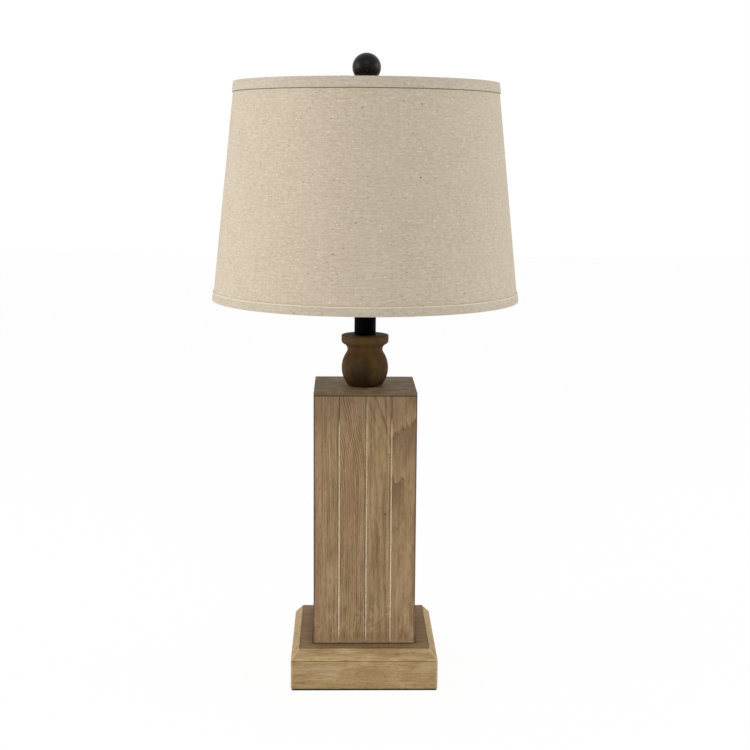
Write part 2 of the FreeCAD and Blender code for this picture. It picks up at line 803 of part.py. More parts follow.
def finial():
    flange_top = washer_top + finial_flange_height
    hole = insert_radius + glue_gap
    lowest = ball_centre - math.sqrt(finial_ball_radius ** 2 - finial_stem_radius ** 2)
    base = spin(outline((0, washer_top, 0), (finial_flange_radius, washer_top, 0),
                        (finial_flange_radius, flange_top, 0.8), (finial_stem_radius, flange_top + 1.5, 1.2),
                        (finial_stem_radius, lowest + 0.5, 0), (0, lowest + 0.5, 0)))
    ball = Part.makeSphere(finial_ball_radius, Vector(0, 0, ball_centre))
    return base.fuse(ball).removeSplitter().cut(disc(hole, insert_length, washer_top))


def finial_insert():
    return ring(insert_radius, stud_radius + glue_gap, insert_length, washer_top)


def build():
    nodes = {
        "felt_pad": felt_pad(),
        "bottom_panel": bottom_panel(),
        "bottom_panel_screws": Part.makeCompound(at_corners(panel_screw)),
        "base_corner_blocks": Part.makeCompound(at_corners(corner_block)),
        "base_front_rail": base_rail(0),
        "base_right_rail": base_rail(90),
        "base_back_rail": back_rail(),
        "base_left_rail": base_rail(270),
        "cord_bushing": cord_bushing(),
        "base_plate": base_plate(),
        "column_bottom_block": end_block(base_top),
        "column_top_block": end_block(plank_top - end_block_thickness),
        "column_cap": column_cap(),
        "turned_neck": turned_neck(),
        "lamp_pipe": lamp_pipe(),
        "pipe_washer": ring(pipe_washer_radius, pipe_hole, pipe_washer_thickness, washer_bottom),
        "pipe_nut": hex_nut(pipe_nut_width, pipe_nut_thickness, pipe_radius + glue_gap, nut_bottom),
        "neck_tube": neck_tube(),
        "check_ring": check_ring(),
        "harp_saddle": harp_saddle(),
        "saddle_nut": hex_nut(saddle_nut_width, saddle_nut_thickness, pipe_radius + glue_gap, saddle_top),
        "harp_wire": harp_wire(),
        "harp_stud": harp_stud(),
        "harp_sleeve_left": harp_sleeve(-1),
        "harp_sleeve_right": harp_sleeve(1),
        "socket_cap": socket_cap(),
        "socket_shell": socket_shell(),
        "socket_core": socket_core(),
        "screw_shell": screw_shell(),
        "centre_contact": centre_contact(),
        "switch_knob": switch_knob(),
        "bulb_glass": bulb_glass(),
        "bulb_cap": bulb_cap(),
        "bulb_contact": bulb_contact(),
        "shade_fabric": shade_wall(0, fabric_thickness),
        "shade_liner": shade_wall(fabric_thickness + glue_gap, liner_thickness),
        "top_trim": top_trim(),
        "bottom_trim": trim(fabric_bottom, shade_bottom, 1, bottom_band),
        "top_ring": wire_ring(fabric_top, -1),
        "bottom_ring": wire_ring(fabric_bottom, 1),
        "spider": spider(),
        "finial": finial(),
        "finial_insert": finial_insert(),
    }
    for face, angle in (("front", 0), ("right", 90), ("back", 180), ("left", 270)):
        for number in range(len(plank_widths)):
            nodes[f"{face}_plank_{number + 1}"] = plank(number, angle)
    return nodes


os.makedirs("parts", exist_ok=True)
for name, shape in build().items():
    shape.exportStep(f"parts/{name}.step")
    print(f"{name}: {len(shape.Solids)} solids, {shape.Volume / 1000:.2f} cm3, valid {shape.isValid()}")
print(f"overall height {ball_centre + finial_ball_radius:.1f} mm, saddle {saddle_bottom:.1f}, "
      f"harp shoulder {harp_top:.1f}, shade {shade_bottom:.1f} to {shade_top:.1f}")
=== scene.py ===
import bpy, bmesh, math
from math import cos, hypot, pi, radians, sin, sqrt
from mathutils import Matrix, Vector, noise


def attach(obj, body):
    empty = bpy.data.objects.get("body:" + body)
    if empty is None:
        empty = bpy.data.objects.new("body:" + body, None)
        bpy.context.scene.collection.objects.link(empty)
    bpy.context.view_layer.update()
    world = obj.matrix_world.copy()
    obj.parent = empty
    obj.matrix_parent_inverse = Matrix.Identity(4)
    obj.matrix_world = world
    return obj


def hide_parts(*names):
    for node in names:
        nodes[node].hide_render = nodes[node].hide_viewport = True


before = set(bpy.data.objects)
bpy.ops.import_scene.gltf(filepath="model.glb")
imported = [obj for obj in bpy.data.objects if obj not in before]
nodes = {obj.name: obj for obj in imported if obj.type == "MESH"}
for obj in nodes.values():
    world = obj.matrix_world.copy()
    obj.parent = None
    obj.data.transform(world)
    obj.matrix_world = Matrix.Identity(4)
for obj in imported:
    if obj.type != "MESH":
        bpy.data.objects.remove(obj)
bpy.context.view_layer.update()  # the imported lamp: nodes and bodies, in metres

mm = 0.001
clear = 0.02  # mm left between a visible piece and its neighbours
scene = bpy.context.scene
scene.view_settings.view_transform = "Standard"


def srgb(red, green, blue):  # an eight-bit screen colour as linear light
    def linear(c):
        c = c / 255
        return c / 12.92 if c <= 0.04045 else ((c + 0.055) / 1.055) ** 2.4
    return (linear(red), linear(green), linear(blue), 1.0)


tones = {}


def addTones(**new):  # a piece's colours, which any colour socket takes by name
    tones.update((name, srgb(*tone)) for name, tone in new.items())


class Num:  # a socket that can be used in arithmetic
    def __init__(self, paint, socket):
        self.paint, self.socket = paint, socket
    def __add__(self, other): return self.paint.maths("ADD", self, other)
    def __sub__(self, other): return self.paint.maths("SUBTRACT", self, other)
    def __rsub__(self, other): return self.paint.maths("SUBTRACT", other, self)
    def __mul__(self, other): return self.paint.maths("MULTIPLY", self, other)
    def __truediv__(self, other): return self.paint.maths("DIVIDE", self, other)
    def __pow__(self, other): return self.paint.maths("POWER", self, other)
    def __abs__(self): return self.paint.maths("ABSOLUTE", self)
    __radd__ = __add__
    __rmul__ = __mul__


def plug(tree, socket, value):  # a socket takes a link, a fixed value or the name of a colour
    if isinstance(value, Num):
        value = value.socket
    if isinstance(value, str):
        value = tones[value]
    if isinstance(value, bpy.types.NodeSocket):
        tree.links.new(value, socket)
    else:
        socket.default_value = value


def addNode(tree, kind, settings=None, values=None):
    made = tree.nodes.new(kind)
    for key, value in (settings or {}).items():
        setattr(made, key, value)
    for key, value in (values or {}).items():
        plug(tree, made.inputs[key], value)
    return made


class Paint:  # one material and the nodes that are added to it
    def __init__(self, name):
        self.material = bpy.data.materials.new(name)
        self.material.use_nodes = True
        self.tree = self.material.node_tree
        self.tree.nodes.clear()
        self.shader = addNode(self.tree, "ShaderNodeBsdfPrincipled")
        self.output = addNode(self.tree, "ShaderNodeOutputMaterial", {}, {0: self.shader.outputs[0]})

    def node(self, kind, settings=None, values=None, out=0):
        return Num(self, addNode(self.tree, kind, settings, values).outputs[out])

    def outs(self, first, *names):  # more outputs of the node that a value comes from
        return [Num(self, first.socket.node.outputs[name]) for name in names]

    def maths(self, operation, first, second=0.0):
        return self.node("ShaderNodeMath", {"operation": operation}, {0: first, 1: second})

    def join(self, x, y, z):
        return self.node("ShaderNodeCombineXYZ", {}, {0: x, 1: y, 2: z})

    def split(self, vector):
        return self.outs(self.node("ShaderNodeSeparateXYZ", {}, {0: vector}), 0, 1, 2)

    def noise(self, where, detail=2.0, roughness=0.5, bend=0.0, scale=1.0):  # where: a vector or its three parts
        if isinstance(where, tuple):
            where = self.join(*where)
        return self.node("ShaderNodeTexNoise", {}, {"Vector": where, "Scale": scale, "Detail": detail,
                                                    "Roughness": roughness, "Distortion": bend})

    def cells(self, x, y, z):  # the way to the nearest speck and two random numbers of it
        near = self.node("ShaderNodeTexVoronoi", {}, {"Vector": self.join(x, y, z), "Scale": 1.0})
        chance = self.node("ShaderNodeSeparateColor", {}, {0: self.outs(near, "Color")[0]})
        return [near] + self.outs(chance, 0, 1)

    def ease(self, value, low, high, start=0.0, finish=1.0):  # smooth step between two values
        return self.node("ShaderNodeMapRange", {"interpolation_type": "SMOOTHSTEP"},
                         {0: value, 1: low, 2: high, 3: start, 4: finish})

    def mix(self, share, first, second):
        return self.node("ShaderNodeMix", {"data_type": "RGBA", "clamp_factor": True},
                         {0: share, 6: first, 7: second}, 2)

    def stains(self, colour, *rows):  # rows of a pattern, where it starts and is full, its strength, its tone
        for pattern, start, full, strength, tone in rows:
            colour = self.mix(self.ease(pattern, start, full) * strength, colour, tone)
        return colour

    def place(self):  # object coordinates in millimetres
        where = self.node("ShaderNodeTexCoord", out="Object")
        return self.node("ShaderNodeVectorMath", {"operation": "SCALE"}, {0: where, 3: 1000.0})

    def xyz(self):
        return self.split(self.place())

    def bump(self, height, depth):
        return self.node("ShaderNodeBump", {}, {"Height": height, "Distance": depth, "Strength": 1.0})

    def finish(self, **values):
        for key, value in values.items():
            plug(self.tree, self.shader.inputs[key.replace("_", " ")], value)
        return self.material


def addObject(name, points, faces, material, corner=40):
    mesh = bpy.data.meshes.new(name)
    mesh.from_pydata(points, [], faces)
    mesh.update()
    mesh.shade_smooth()
    mesh.set_sharp_from_angle(angle=radians(corner))
    mesh.materials.append(material)
    return link(name, mesh)


def link(name, data):
    piece = bpy.data.objects.new(name, data)
    scene.collection.objects.link(piece)
    return piece


def lathe(name, profile, material, around=144, wave=None, corner=40):
    # profile: (radius, height) in mm, counter-clockwise in the r-z half plane; wave moves a point outwards
    points, faces, rings, where = [], [], [], []
    lengths = [0.0]
    for (r0, z0), (r1, z1) in zip(profile, profile[1:]):
        lengths.append(lengths[-1] + hypot(r1 - r0, z1 - z0))
    for radius, height in profile:
        if radius == 0:  # a pole is one point that the whole ring shares
            rings.append([len(points)] * around)
            points.append((0, 0, height * mm))
            continue
        rings.append(list(range(len(points), len(points) + around)))
        for i in range(around):
            turn = 2 * pi * i / around + pi / 2
            r = radius + (wave(turn, height) if wave else 0)
            points.append((r * cos(turn) * mm, r * sin(turn) * mm, height * mm))
    widest = max(r for r, z in profile)
    for a in range(len(rings)):  # the last ring joins the first
        b = (a + 1) % len(rings)
        lengthB = lengths[b] if b else lengths[-1] + 1
        for i in range(around):
            j = (i + 1) % around
            face = [(rings[a][i], i, lengths[a]), (rings[a][j], i + 1, lengths[a]),
                    (rings[b][j], i + 1, lengthB), (rings[b][i], i, lengthB)]
            kept = [c for k, c in enumerate(face) if c[0] != face[k - 1][0]]
            if len(kept) > 2:
                faces.append([c[0] for c in kept])
                where += [(2 * pi * c[1] / around * widest * mm, c[2] * mm) for c in kept]
    piece = addObject(name, points, faces, material, corner)
    layer = piece.data.uv_layers.new(name="cloth")
    for loop, uv in zip(layer.data, where):
        loop.uv = uv
    return piece


def arc(cx, cz, radius, start, finish, steps):
    turns = [radians(start + (finish - start) * i / steps) for i in range(steps + 1)]
    return [(cx + radius * cos(t), cz + radius * sin(t)) for t in turns]


def settle(piece, body, slot, *replaced):  # every piece rides and may stand for nodes
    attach(piece, body)
    if replaced:
        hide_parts(*replaced)


def dress(node, material):  # a CAD node keeps its shape and gets this material
    mesh = nodes[node].data
    mesh.materials.clear()
    mesh.materials.append(material)


def bake(piece):  # the evaluated shape replaces the mesh, its modifiers go
    bpy.context.view_layer.update()
    shown = piece.evaluated_get(bpy.context.evaluated_depsgraph_get())
    mesh = bpy.data.meshes.new_from_object(shown)
    piece.modifiers.clear()
    piece.data = mesh


rounding = {"segments": 2, "sharperThan": 30, "merge": 0.02, "sliver": 0.005}


def bevelled(piece, width):  # rounds the hard edges and keeps the result as plain mesh
    eased = piece.modifiers.new("eased", "BEVEL")
    eased.width = width * mm
    eased.segments = rounding["segments"]
    eased.limit_method = "ANGLE"
    eased.angle_limit = radians(rounding["sharperThan"])
    bake(piece)
    clean = bmesh.new()
    clean.from_mesh(piece.data)
    bmesh.ops.remove_doubles(clean, verts=clean.verts, dist=rounding["merge"] * mm)
    bmesh.ops.dissolve_degenerate(clean, edges=clean.edges, dist=rounding["sliver"] * mm)
    clean.to_mesh(piece.data)
    clean.free()
    return piece


class Rule:  # a Geometry Nodes tree with named inputs
    def __init__(self, name, result, **inputs):
        self.tree = bpy.data.node_groups.new(name, "GeometryNodeTree")
        self.names = {}
        for key, kind in inputs.items():
            socket = self.tree.interface.new_socket(name=key, in_out="INPUT", socket_type="NodeSocket" + kind)
            self.names[key] = socket.identifier
        self.tree.interface.new_socket(name=result, in_out="OUTPUT", socket_type="NodeSocketGeometry")
        self.given = addNode(self.tree, "NodeGroupInput").outputs

    def add(self, kind, values, **settings):
        return addNode(self.tree, kind, settings, values).outputs[0]

    def close(self, shape):
        real = self.add("GeometryNodeRealizeInstances", {0: shape})
        coat = self.add("GeometryNodeSetMaterial", {"Geometry": real, "Material": self.given["Finish"]})
        addNode(self.tree, "NodeGroupOutput", {}, {0: coat})
        return self

    def follow(self, piece, **values):  # the piece takes the rule's shape as plain mesh
        modifier = piece.modifiers.new("rule", "NODES")
        modifier.node_group = self.tree
        for key, value in values.items():
            modifier[self.names[key]] = value
        bake(piece)
        piece.data.shade_smooth()


view = {"place": (-23.37, -1461.28, 574.49), "down": 0.1645, "right": 0.0236, "roll": 0.0072, "lens": 64.92,
        "sensor": 36}


def setCamera():
    down, right, roll = view["down"], view["right"], view["roll"]
    forward = Vector((sin(right) * cos(down), cos(right) * cos(down), -sin(down)))
    side = Vector((cos(right), -sin(right), 0))
    up = side.cross(forward)
    side, up = (side * cos(roll) + up * sin(roll), up * cos(roll) - side * sin(roll))
    camera = link("camera", bpy.data.cameras.new("camera"))
    aimed = Matrix((side, up, -forward)).transposed().to_4x4()
    camera.matrix_world = Matrix.Translation(Vector(view["place"]) * mm) @ aimed
    camera.data.lens = view["lens"]
    camera.data.sensor_width = view["sensor"]
    scene.camera = camera


studio = {"world": 0.75, "tint": (1, 0.99, 0.98, 1), "white": (1, 1, 1, 1), "aim": (0, 0, 0.35),
          "floorHalf": 6.0, "floorGlow": 0.95,
          "lamps": {"key": (15.0, (-1.8, -0.35, 0.8), 1.3),  # power, place and size of each, in W and m
                    "fill": (9.0, (1.8, 0.1, 0.8), 1.2),
                    "front": (4.0, (-0.05, -1.6, 1.9), 0.6)}}


def seenRays(tree):  # 1 for what the camera, a mirror or glass sees, else 0
    path = addNode(tree, "ShaderNodeLightPath").outputs
    larger = {"operation": "MAXIMUM"}
    mirror = addNode(tree, "ShaderNodeMath", larger, {0: path["Is Glossy Ray"], 1: path["Is Transmission Ray"]})
    return addNode(tree, "ShaderNodeMath", larger, {0: path["Is Camera Ray"], 1: mirror.outputs[0]}).outputs[0]


def setLight():
    world = bpy.data.worlds.new("studio")
    world.use_nodes = True
    scene.world = world
    tree = world.node_tree
    tree.nodes.clear()
    lit, seen = [addNode(tree, "ShaderNodeBackground", {}, {0: colour, 1: strength}).outputs[0]
                 for colour, strength in ((studio["tint"], studio["world"]), (studio["white"], 1.0))]
    both = addNode(tree, "ShaderNodeMixShader", {}, {0: seenRays(tree), 1: lit, 2: seen})
    addNode(tree, "ShaderNodeOutputWorld", {}, {0: both.outputs[0]})
    for name, (power, place, size) in studio["lamps"].items():
        lamp = link(name, bpy.data.lights.new(name, "AREA"))
        lamp.data.energy, lamp.data.size = power, size
        lamp.location = place
        lamp.rotation_euler = (Vector(studio["aim"]) - Vector(place)).to_track_quat("-Z", "Y").to_euler()


def setFloor():
    paint = Paint("paleFloor")
    paint.finish(Base_Color=srgb(250, 250, 250), Roughness=0.9)
    glow = paint.node("ShaderNodeEmission", {}, {0: studio["white"], 1: 1.0})
    share = Num(paint, seenRays(paint.tree)) * studio["floorGlow"]
    surface = paint.node("ShaderNodeMixShader", {}, {0: share, 1: paint.shader.outputs[0], 2: glow})
    plug(paint.tree, paint.output.inputs[0], surface)
    half = studio["floorHalf"]
    floor = addObject("floor", [(-half, -half, 0), (half, -half, 0), (half, half, 0), (-half, half, 0)],
                      [(0, 1, 2, 3)], paint.material)


setCamera()
setLight()
setFloor()
print("camera, light and floor are set")


# Each board is a slice of a log: growth rings round a pith that lies off the board and leans along it
traits = ("pith", "lean", "bow", "ring", "sway", "jag", "rings", "streaks", "patches", "fine")
logs = {name: dict(zip(traits, values)) for name, values in {
    "straight": ((-150, 60), 0.02, 0, 2.4, 5.0, 0.5, 0.7, 0.85, 0.6, 1.0),
    "wavy": ((-108, 22), 0.01, 38, 2.2, 12.0, 0.7, 1.5, 0.5, 0.45, 0.7),
    "streaked": ((-50, 24), 0.03, 34, 6.4, 12.0, 0.9, 0.8, 0.9, 0.7, 0.55),
    "flatSawn": ((4, 17), -0.085, 0, 8.5, 7.0, 3.0, 0.55, 0.6, 0.9, 0.5)}.items()}
# how often each figure repeats in a mm across and along the grain, then its detail, roughness and bend
figures = {"drift": (0.02, 0.0048, 3, 0.55, 0), "jag": (0.55, 0.045, 3, 0.6, 0), "wide": (0.33, 0.007, 4, 0.62, 0),
           "fine": (1.05, 0.032, 4, 0.66, 0.2), "pores": (2.1, 0.1, 2, 0.7, 0), "broad": (0.045, 0.01, 3, 0.6, 0),
           "patch": (0.1, 0.022, 4, 0.62, 0.6), "limed": (0.16, 0.016, 4, 0.65, 0)}
addTones(pale=(180, 153, 117), warm=(150, 122, 87), sandy=(164, 137, 101), brown=(101, 74, 46), dark=(70, 49, 32),
         line=(48, 32, 24), lime=(196, 176, 147), red=(150, 112, 82), olive=(146, 126, 84), gold=(158, 126, 80),
         rosy=(142, 100, 84), corner=(84, 56, 48), dull=(98, 82, 64), smear=(190, 166, 130),
         groove=(216, 198, 170), knot=(74, 42, 28))


def grain(paint, across, depth, along, log, seed):
    # returns the wood's colour, its height and where lime stayed, from three lengths in mm
    far = along + seed * 731.0

    def figure(name, shift=None):
        thick, long, detail, roughness, bend = figures[name]
        aside = across * thick if shift is None else across * thick + shift
        return paint.noise((aside, depth * thick, far * long), detail, roughness, bend)

    sway = (figure("drift", seed * 7.1) - 0.5) * log["sway"]
    aside, behind = log["pith"]
    u = across - aside + sway
    v = depth + behind + along * log["lean"] + sway * 0.6 + paint.ease(along, 215, 345) * log["bow"]
    radius = (u * u + v * v) ** 0.5 + (figure("jag") - 0.5) * log["jag"]
    rings = radius / log["ring"] + seed * 0.37
    phase = paint.maths("FRACT", rings)
    fade = paint.noise((rings * 0.31, far * 0.006, seed * 1.3))
    late = paint.ease(phase, 0.3, 0.95) * paint.ease(phase, 1.0, 0.95)  # darker towards the end of each year
    late = late * paint.ease(fade, 0.34, 0.62, 0.2, 1.0)
    wide, patch, fine, limed = figure("wide", sway * 0.2), figure("patch", 5), figure("fine"), figure("limed", 9)
    pores = paint.ease(figure("pores", 31), 0.57, 0.7) * paint.ease(phase, 0.75, 0.2, 0.35, 1.0)
    tint = paint.noise((across * 0.05 + seed * 3.1, depth * 0.05, far * 0.009 + 40), 3, 0.6)
    colour = paint.mix(paint.ease(figure("broad"), 0.32, 0.7), "warm", "sandy")
    colour = paint.stains(paint.mix(late * (0.95 * log["rings"]), colour, "brown"),
        (wide, 0.5, 0.68, 0.75 * log["streaks"], "pale"),
        (wide, 0.49, 0.32, 0.72 * log["streaks"], "brown"),
        (patch, 0.5, 0.66, 0.42 * log["patches"], "pale"),
        (patch, 0.5, 0.34, 0.46 * log["patches"], "brown"),
        (fine, 0.5, 0.7, 0.62 * log["fine"], "pale"),
        (fine, 0.49, 0.3, 0.66 * log["fine"], "brown"))
    colour = paint.stains(paint.mix(pores * 0.5, colour, "dark"),
        (tint, 0.5, 0.66, 0.26, "red"),
        (tint, 0.5, 0.34, 0.24, "olive"),
        (limed, 0.58, 0.8, 0.3, "lime"))
    return colour, fine * 0.6 - late * 0.3 - pores * 0.9, limed


def turned(paint, degrees):  # the lamp's coordinates seen from one of its four sides, in mm
    return paint.split(paint.node("ShaderNodeMapping", {"vector_type": "TEXTURE"},
                                  {"Vector": paint.place(), "Rotation": (0, 0, radians(degrees))}))


column = {"half": 55.0, "bottom": 45.0, "capBottom": 318.5, "board": 9.0, "widths": (27.4, 29.2, 26.5, 26.9),
          "groove": 0.55, "easing": 0.8, "rounding": 0.35,
          "logs": {0: ("straight", "wavy", "streaked", "flatSawn"),
                   90: ("flatSawn", "straight", "streaked", "wavy"),
                   180: ("streaked", "flatSawn", "straight", "wavy"),
                   270: ("wavy", "streaked", "straight", "flatSawn")},
          "faces": {0: "front", 90: "right", 180: "back", 270: "left"},
          "tonguePlank": (0, 3), "tongues": ((285.0, -0.5, 60.0), (225.0, 0.15, 46.0)),  # height, slope, reach
          "knotPlank": (0, 2), "knot": (22.0, 189.5)}
joints = [sum(column["widths"][:n]) - column["half"] for n in range(1, 4)]


def plankPaint(degrees, number):
    paint = Paint(f"{column['faces'][degrees]}Plank{number + 1}")
    across, depth, along = turned(paint, degrees)
    half, foot, top = column["half"], column["bottom"], column["capBottom"]
    seed = number + degrees / 31
    log = logs[column["logs"][degrees][number]]
    colour, height, limed = grain(paint, across, depth + half, along, log, seed)
    wobble = paint.noise((across * 0.2, seed, along * 0.21), 3, 0.7) - 0.5
    ragged = paint.noise((across * 0.8, seed + 4, along * 0.75), 2, 0.7)
    if (degrees, number) == column["tonguePlank"]:  # flat-sawn tongues with jagged dark edges
        teeth = (paint.noise((across * 0.3, 2.0, along * 0.012), 3, 0.7) - 0.5) * 46
        for level, slope, reach in column["tongues"]:
            under = level - teeth - (across - 41) * slope - along
            near = paint.ease(across + wobble * 8, reach, reach - 6)
            colour = paint.stains(colour,
                (under, -0.6, 0.6, paint.ease(under, 62, 4) * near * 0.56, "brown"),
                (abs(under), 1.4, 0.3, near * 0.7, "dark"))
    for place in range(max(0, number - 1), min(3, number + 1)):
        gap = across - joints[place] + wobble * 0.5
        if place == 1:  # the middle groove is whiter at its top
            upper, broken = paint.ease(along, 306, 316) * 0.7, paint.ease(ragged, 0.4, 0.52)
        else:
            upper, broken = paint.ease(along, 286, 300), paint.ease(ragged, 0.3, 0.42)
        cream = paint.mix(upper, "groove", "dark")
        # painted shade along the left side of each groove; the cream darkens towards the top
        colour = paint.stains(colour,
            (abs(gap + 1.15), 0.6, 0.15, 0.55 - upper * 0.55, "dark"),
            (abs(gap), 0.85, 0.55, (broken * 0.8 + 0.2) * (1 - upper * 0.8), cream))
        height = height + paint.ease(abs(gap), 0.85, 0.55) * ragged * 0.8
    smears = paint.noise((across * 0.13 + seed, 4.0, along * 0.07), 5, 0.75, 0.8)
    # a rosy left edge and dark corners, painted shade under the lamp shade, golden and limed at the foot
    colour = paint.stains(colour,
        (across + wobble * 6, 10 - half, -half, paint.ease(ragged, 0.38, 0.62, 0.4, 1.0) * 0.34, "rosy"),
        (abs(across) + wobble, half - 2.3, half - 0.7, 0.8, "corner"),
        (along + wobble * 20, 262, 322, 0.3, "dull"),
        (along + wobble * 10, 84, 50, 0.26, "gold"),
        (along + wobble, foot + 8, foot + 2, 0.22, "lime"),
        (smears, 0.5, 0.62, paint.ease(along, 120, 62) * 0.34, "smear"),
        (along + wobble, foot + 2.4, foot + 1.2, 0.25, "lime"),
        (along + wobble * 0.5, top - 1.2, top - 0.3, 0.7, "line"))
    if (degrees, number) == column["knotPlank"]:  # the small dark knot by the third groove
        knotX, knotZ = column["knot"]
        knot = paint.maths("SQRT", (across - knotX) ** 2 + ((along - knotZ) * 0.75) ** 2)
        colour = paint.stains(colour, (knot, 1.7, 0.6, 0.72, "knot"))
    return paint.finish(Base_Color=colour, Specular_IOR_Level=0.3, Normal=paint.bump(height, 0.00035),
                        Roughness=paint.ease(limed, 0.3, 0.7, 0.62, 0.78))


def boardPiece(name, plan, bottom, top, degrees, material, easing):
    # a prism over a plan in mm, turned to its side of the lamp, its long edges eased
    turn = Matrix.Rotation(radians(degrees), 4, "Z")
    points = [turn @ Vector((x * mm, y * mm, z * mm)) for z in (bottom + clear, top - clear) for x, y in plan]
    count = len(plan)
    faces = [(i, (i + 1) % count, count + (i + 1) % count, count + i) for i in range(count)]
    faces += [tuple(reversed(range(count))), tuple(range(count, count * 2))]
    return bevelled(addObject(name, points, faces, material), easing)


def plankPlan(number):  # from the left edge round the back to the face
    face, back = -column["half"], -column["half"] + column["board"]
    left, right = ([face] + joints)[number], (joints + [-face])[number]
    groove, easing = column["groove"], column["easing"]
    leftSide = [(left + column["board"], back), (left + easing / 2, face + easing / 2), (left + easing, face)]
    rightSide = [(right - easing, face), (right - easing / 2, face + easing / 2), (right - column["board"], back)]
    if number:
        leftSide = [(left + clear, back), (left + clear, face + groove), (left + groove, face)]
    if number < 3:
        rightSide = [(right - groove, face), (right - clear, face + groove), (right - clear, back)]
    return leftSide + rightSide


for degrees, side in column["faces"].items():
    for number in range(4):
        name = f"{side}_plank_{number + 1}"
        board = boardPiece(name + "_wood", plankPlan(number), column["bottom"], column["capBottom"], degrees,
                           plankPaint(degrees, number), column["rounding"])
        settle(board, "base", "planks", name)
print("sixteen planks stand round the column")


# Cream filler lies broken and wavy in the grooves: a rule along twelve lines
filler = {"radius": 0.48, "inset": 0.46, "wander": 0.28, "step": 1.6, "low": 46.5, "high": (316.5, 317.0, 316.0),
          "seed": 5, "sides": 7, "waves": (400, 400, 160)}
addTones(upperCream=(194, 176, 146), lowerCream=(224, 210, 184), thinCream=(150, 124, 96),
         stainedCream=(66, 46, 30))


def fillerRule():
    rule = Rule("grooveFiller", "Filler", Lines="Geometry", Radius="Float", Wander="Float", Step="Float",
                Seed="Int", Finish="Material")
    add, given = rule.add, rule.given
    curve = add("GeometryNodeMeshToCurve", {"Mesh": given["Lines"]})
    fine = add("GeometryNodeResampleCurve", {"Curve": curve, "Length": given["Step"]}, mode="LENGTH")
    stretched = add("ShaderNodeVectorMath", {0: add("GeometryNodeInputPosition", {}), 1: filler["waves"]},
                    operation="MULTIPLY")
    rough = add("ShaderNodeTexNoise", {"Vector": stretched, "W": given["Seed"], "Detail": 2.0, "Scale": 1.0},
                noise_dimensions="4D")
    middle = add("ShaderNodeVectorMath", {0: rough.node.outputs["Color"], 1: (0.5, 0.5, 0.5)}, operation="SUBTRACT")
    push = add("ShaderNodeVectorMath", {0: middle, "Scale": given["Wander"]}, operation="SCALE")
    moved = add("GeometryNodeSetPosition", {"Geometry": fine, "Offset": push})
    thick = add("ShaderNodeMapRange", {0: rough, 1: 0.33, 2: 0.5, 3: 0.25, 4: 1.0},
                interpolation_type="SMOOTHSTEP")
    size = add("ShaderNodeMath", {0: thick, 1: given["Radius"]}, operation="MULTIPLY")
    outline = add("GeometryNodeCurvePrimitiveCircle", {"Resolution": filler["sides"], "Radius": 1.0})
    return rule.close(add("GeometryNodeCurveToMesh",
                          {"Curve": moved, "Profile Curve": outline, "Scale": size, "Fill Caps": True}))


def fillerPaint():
    paint = Paint("grooveFiller")
    x, y, z = paint.xyz()
    rough = paint.noise((x * 0.9, y * 0.9, z * 0.6), 4, 0.7)
    tone = paint.mix(paint.ease(z, 250, 110), "upperCream", "lowerCream")
    outer = paint.ease(abs(abs(x) - abs(y)), 50, 44)  # the middle line of each side stays cream
    # the cream turns dark towards the tops of the grooves
    colour = paint.stains(paint.mix(paint.ease(rough, 0.36, 0.52), "thinCream", tone),
        (rough, 0.34, 0.24, 1.0, "line"),
        (z + rough * 14, 286, 304, outer * 0.5 + 0.4, "stainedCream"))
    return paint.finish(Base_Color=colour, Roughness=0.85, Normal=paint.bump(rough, 0.0002))


def addFiller():
    points, lines = [], []
    depth = -column["half"] + filler["inset"]
    for degrees in column["faces"]:
        turn = Matrix.Rotation(radians(degrees), 4, "Z")
        for joint, high in zip(joints, filler["high"]):
            lines.append((len(points), len(points) + 1))
            points += [turn @ Vector((joint * mm, depth * mm, z * mm)) for z in (filler["low"], high)]
    mesh = bpy.data.meshes.new("groove_filler")
    mesh.from_pydata(points, lines, [])
    piece = link("groove_filler", mesh)
    fillerRule().follow(piece, Radius=filler["radius"] * mm, Wander=filler["wander"] * mm,
                        Step=filler["step"] * mm, Seed=filler["seed"], Finish=fillerPaint())
    settle(piece, "base", "planks")


addFiller()
print("the grooves are filled")


plinth = {"half": 79.0, "wall": 16.0, "bottom": 1.5, "railTop": 33.0, "lip": 1.0, "top": 45.0, "bevel": 9.0,
          "easing": 0.7, "hole": 5.3, "holeSides": 32,
          "rails": {"base_front_rail": (0, "straight"), "base_right_rail": (90, "wavy"),
                    "base_back_rail": (180, "streaked"), "base_left_rail": (270, "straight")}}
addTones(honey=(175, 147, 98), brushed=(206, 182, 138), bare=(112, 84, 52), milky=(200, 178, 142),
         ochre=(132, 100, 62), boardTop=(98, 73, 44), worn=(212, 192, 158), hip=(212, 190, 152),
         bevelFoot=(206, 184, 148), postLine=(34, 22, 15), shaded=(70, 48, 26))


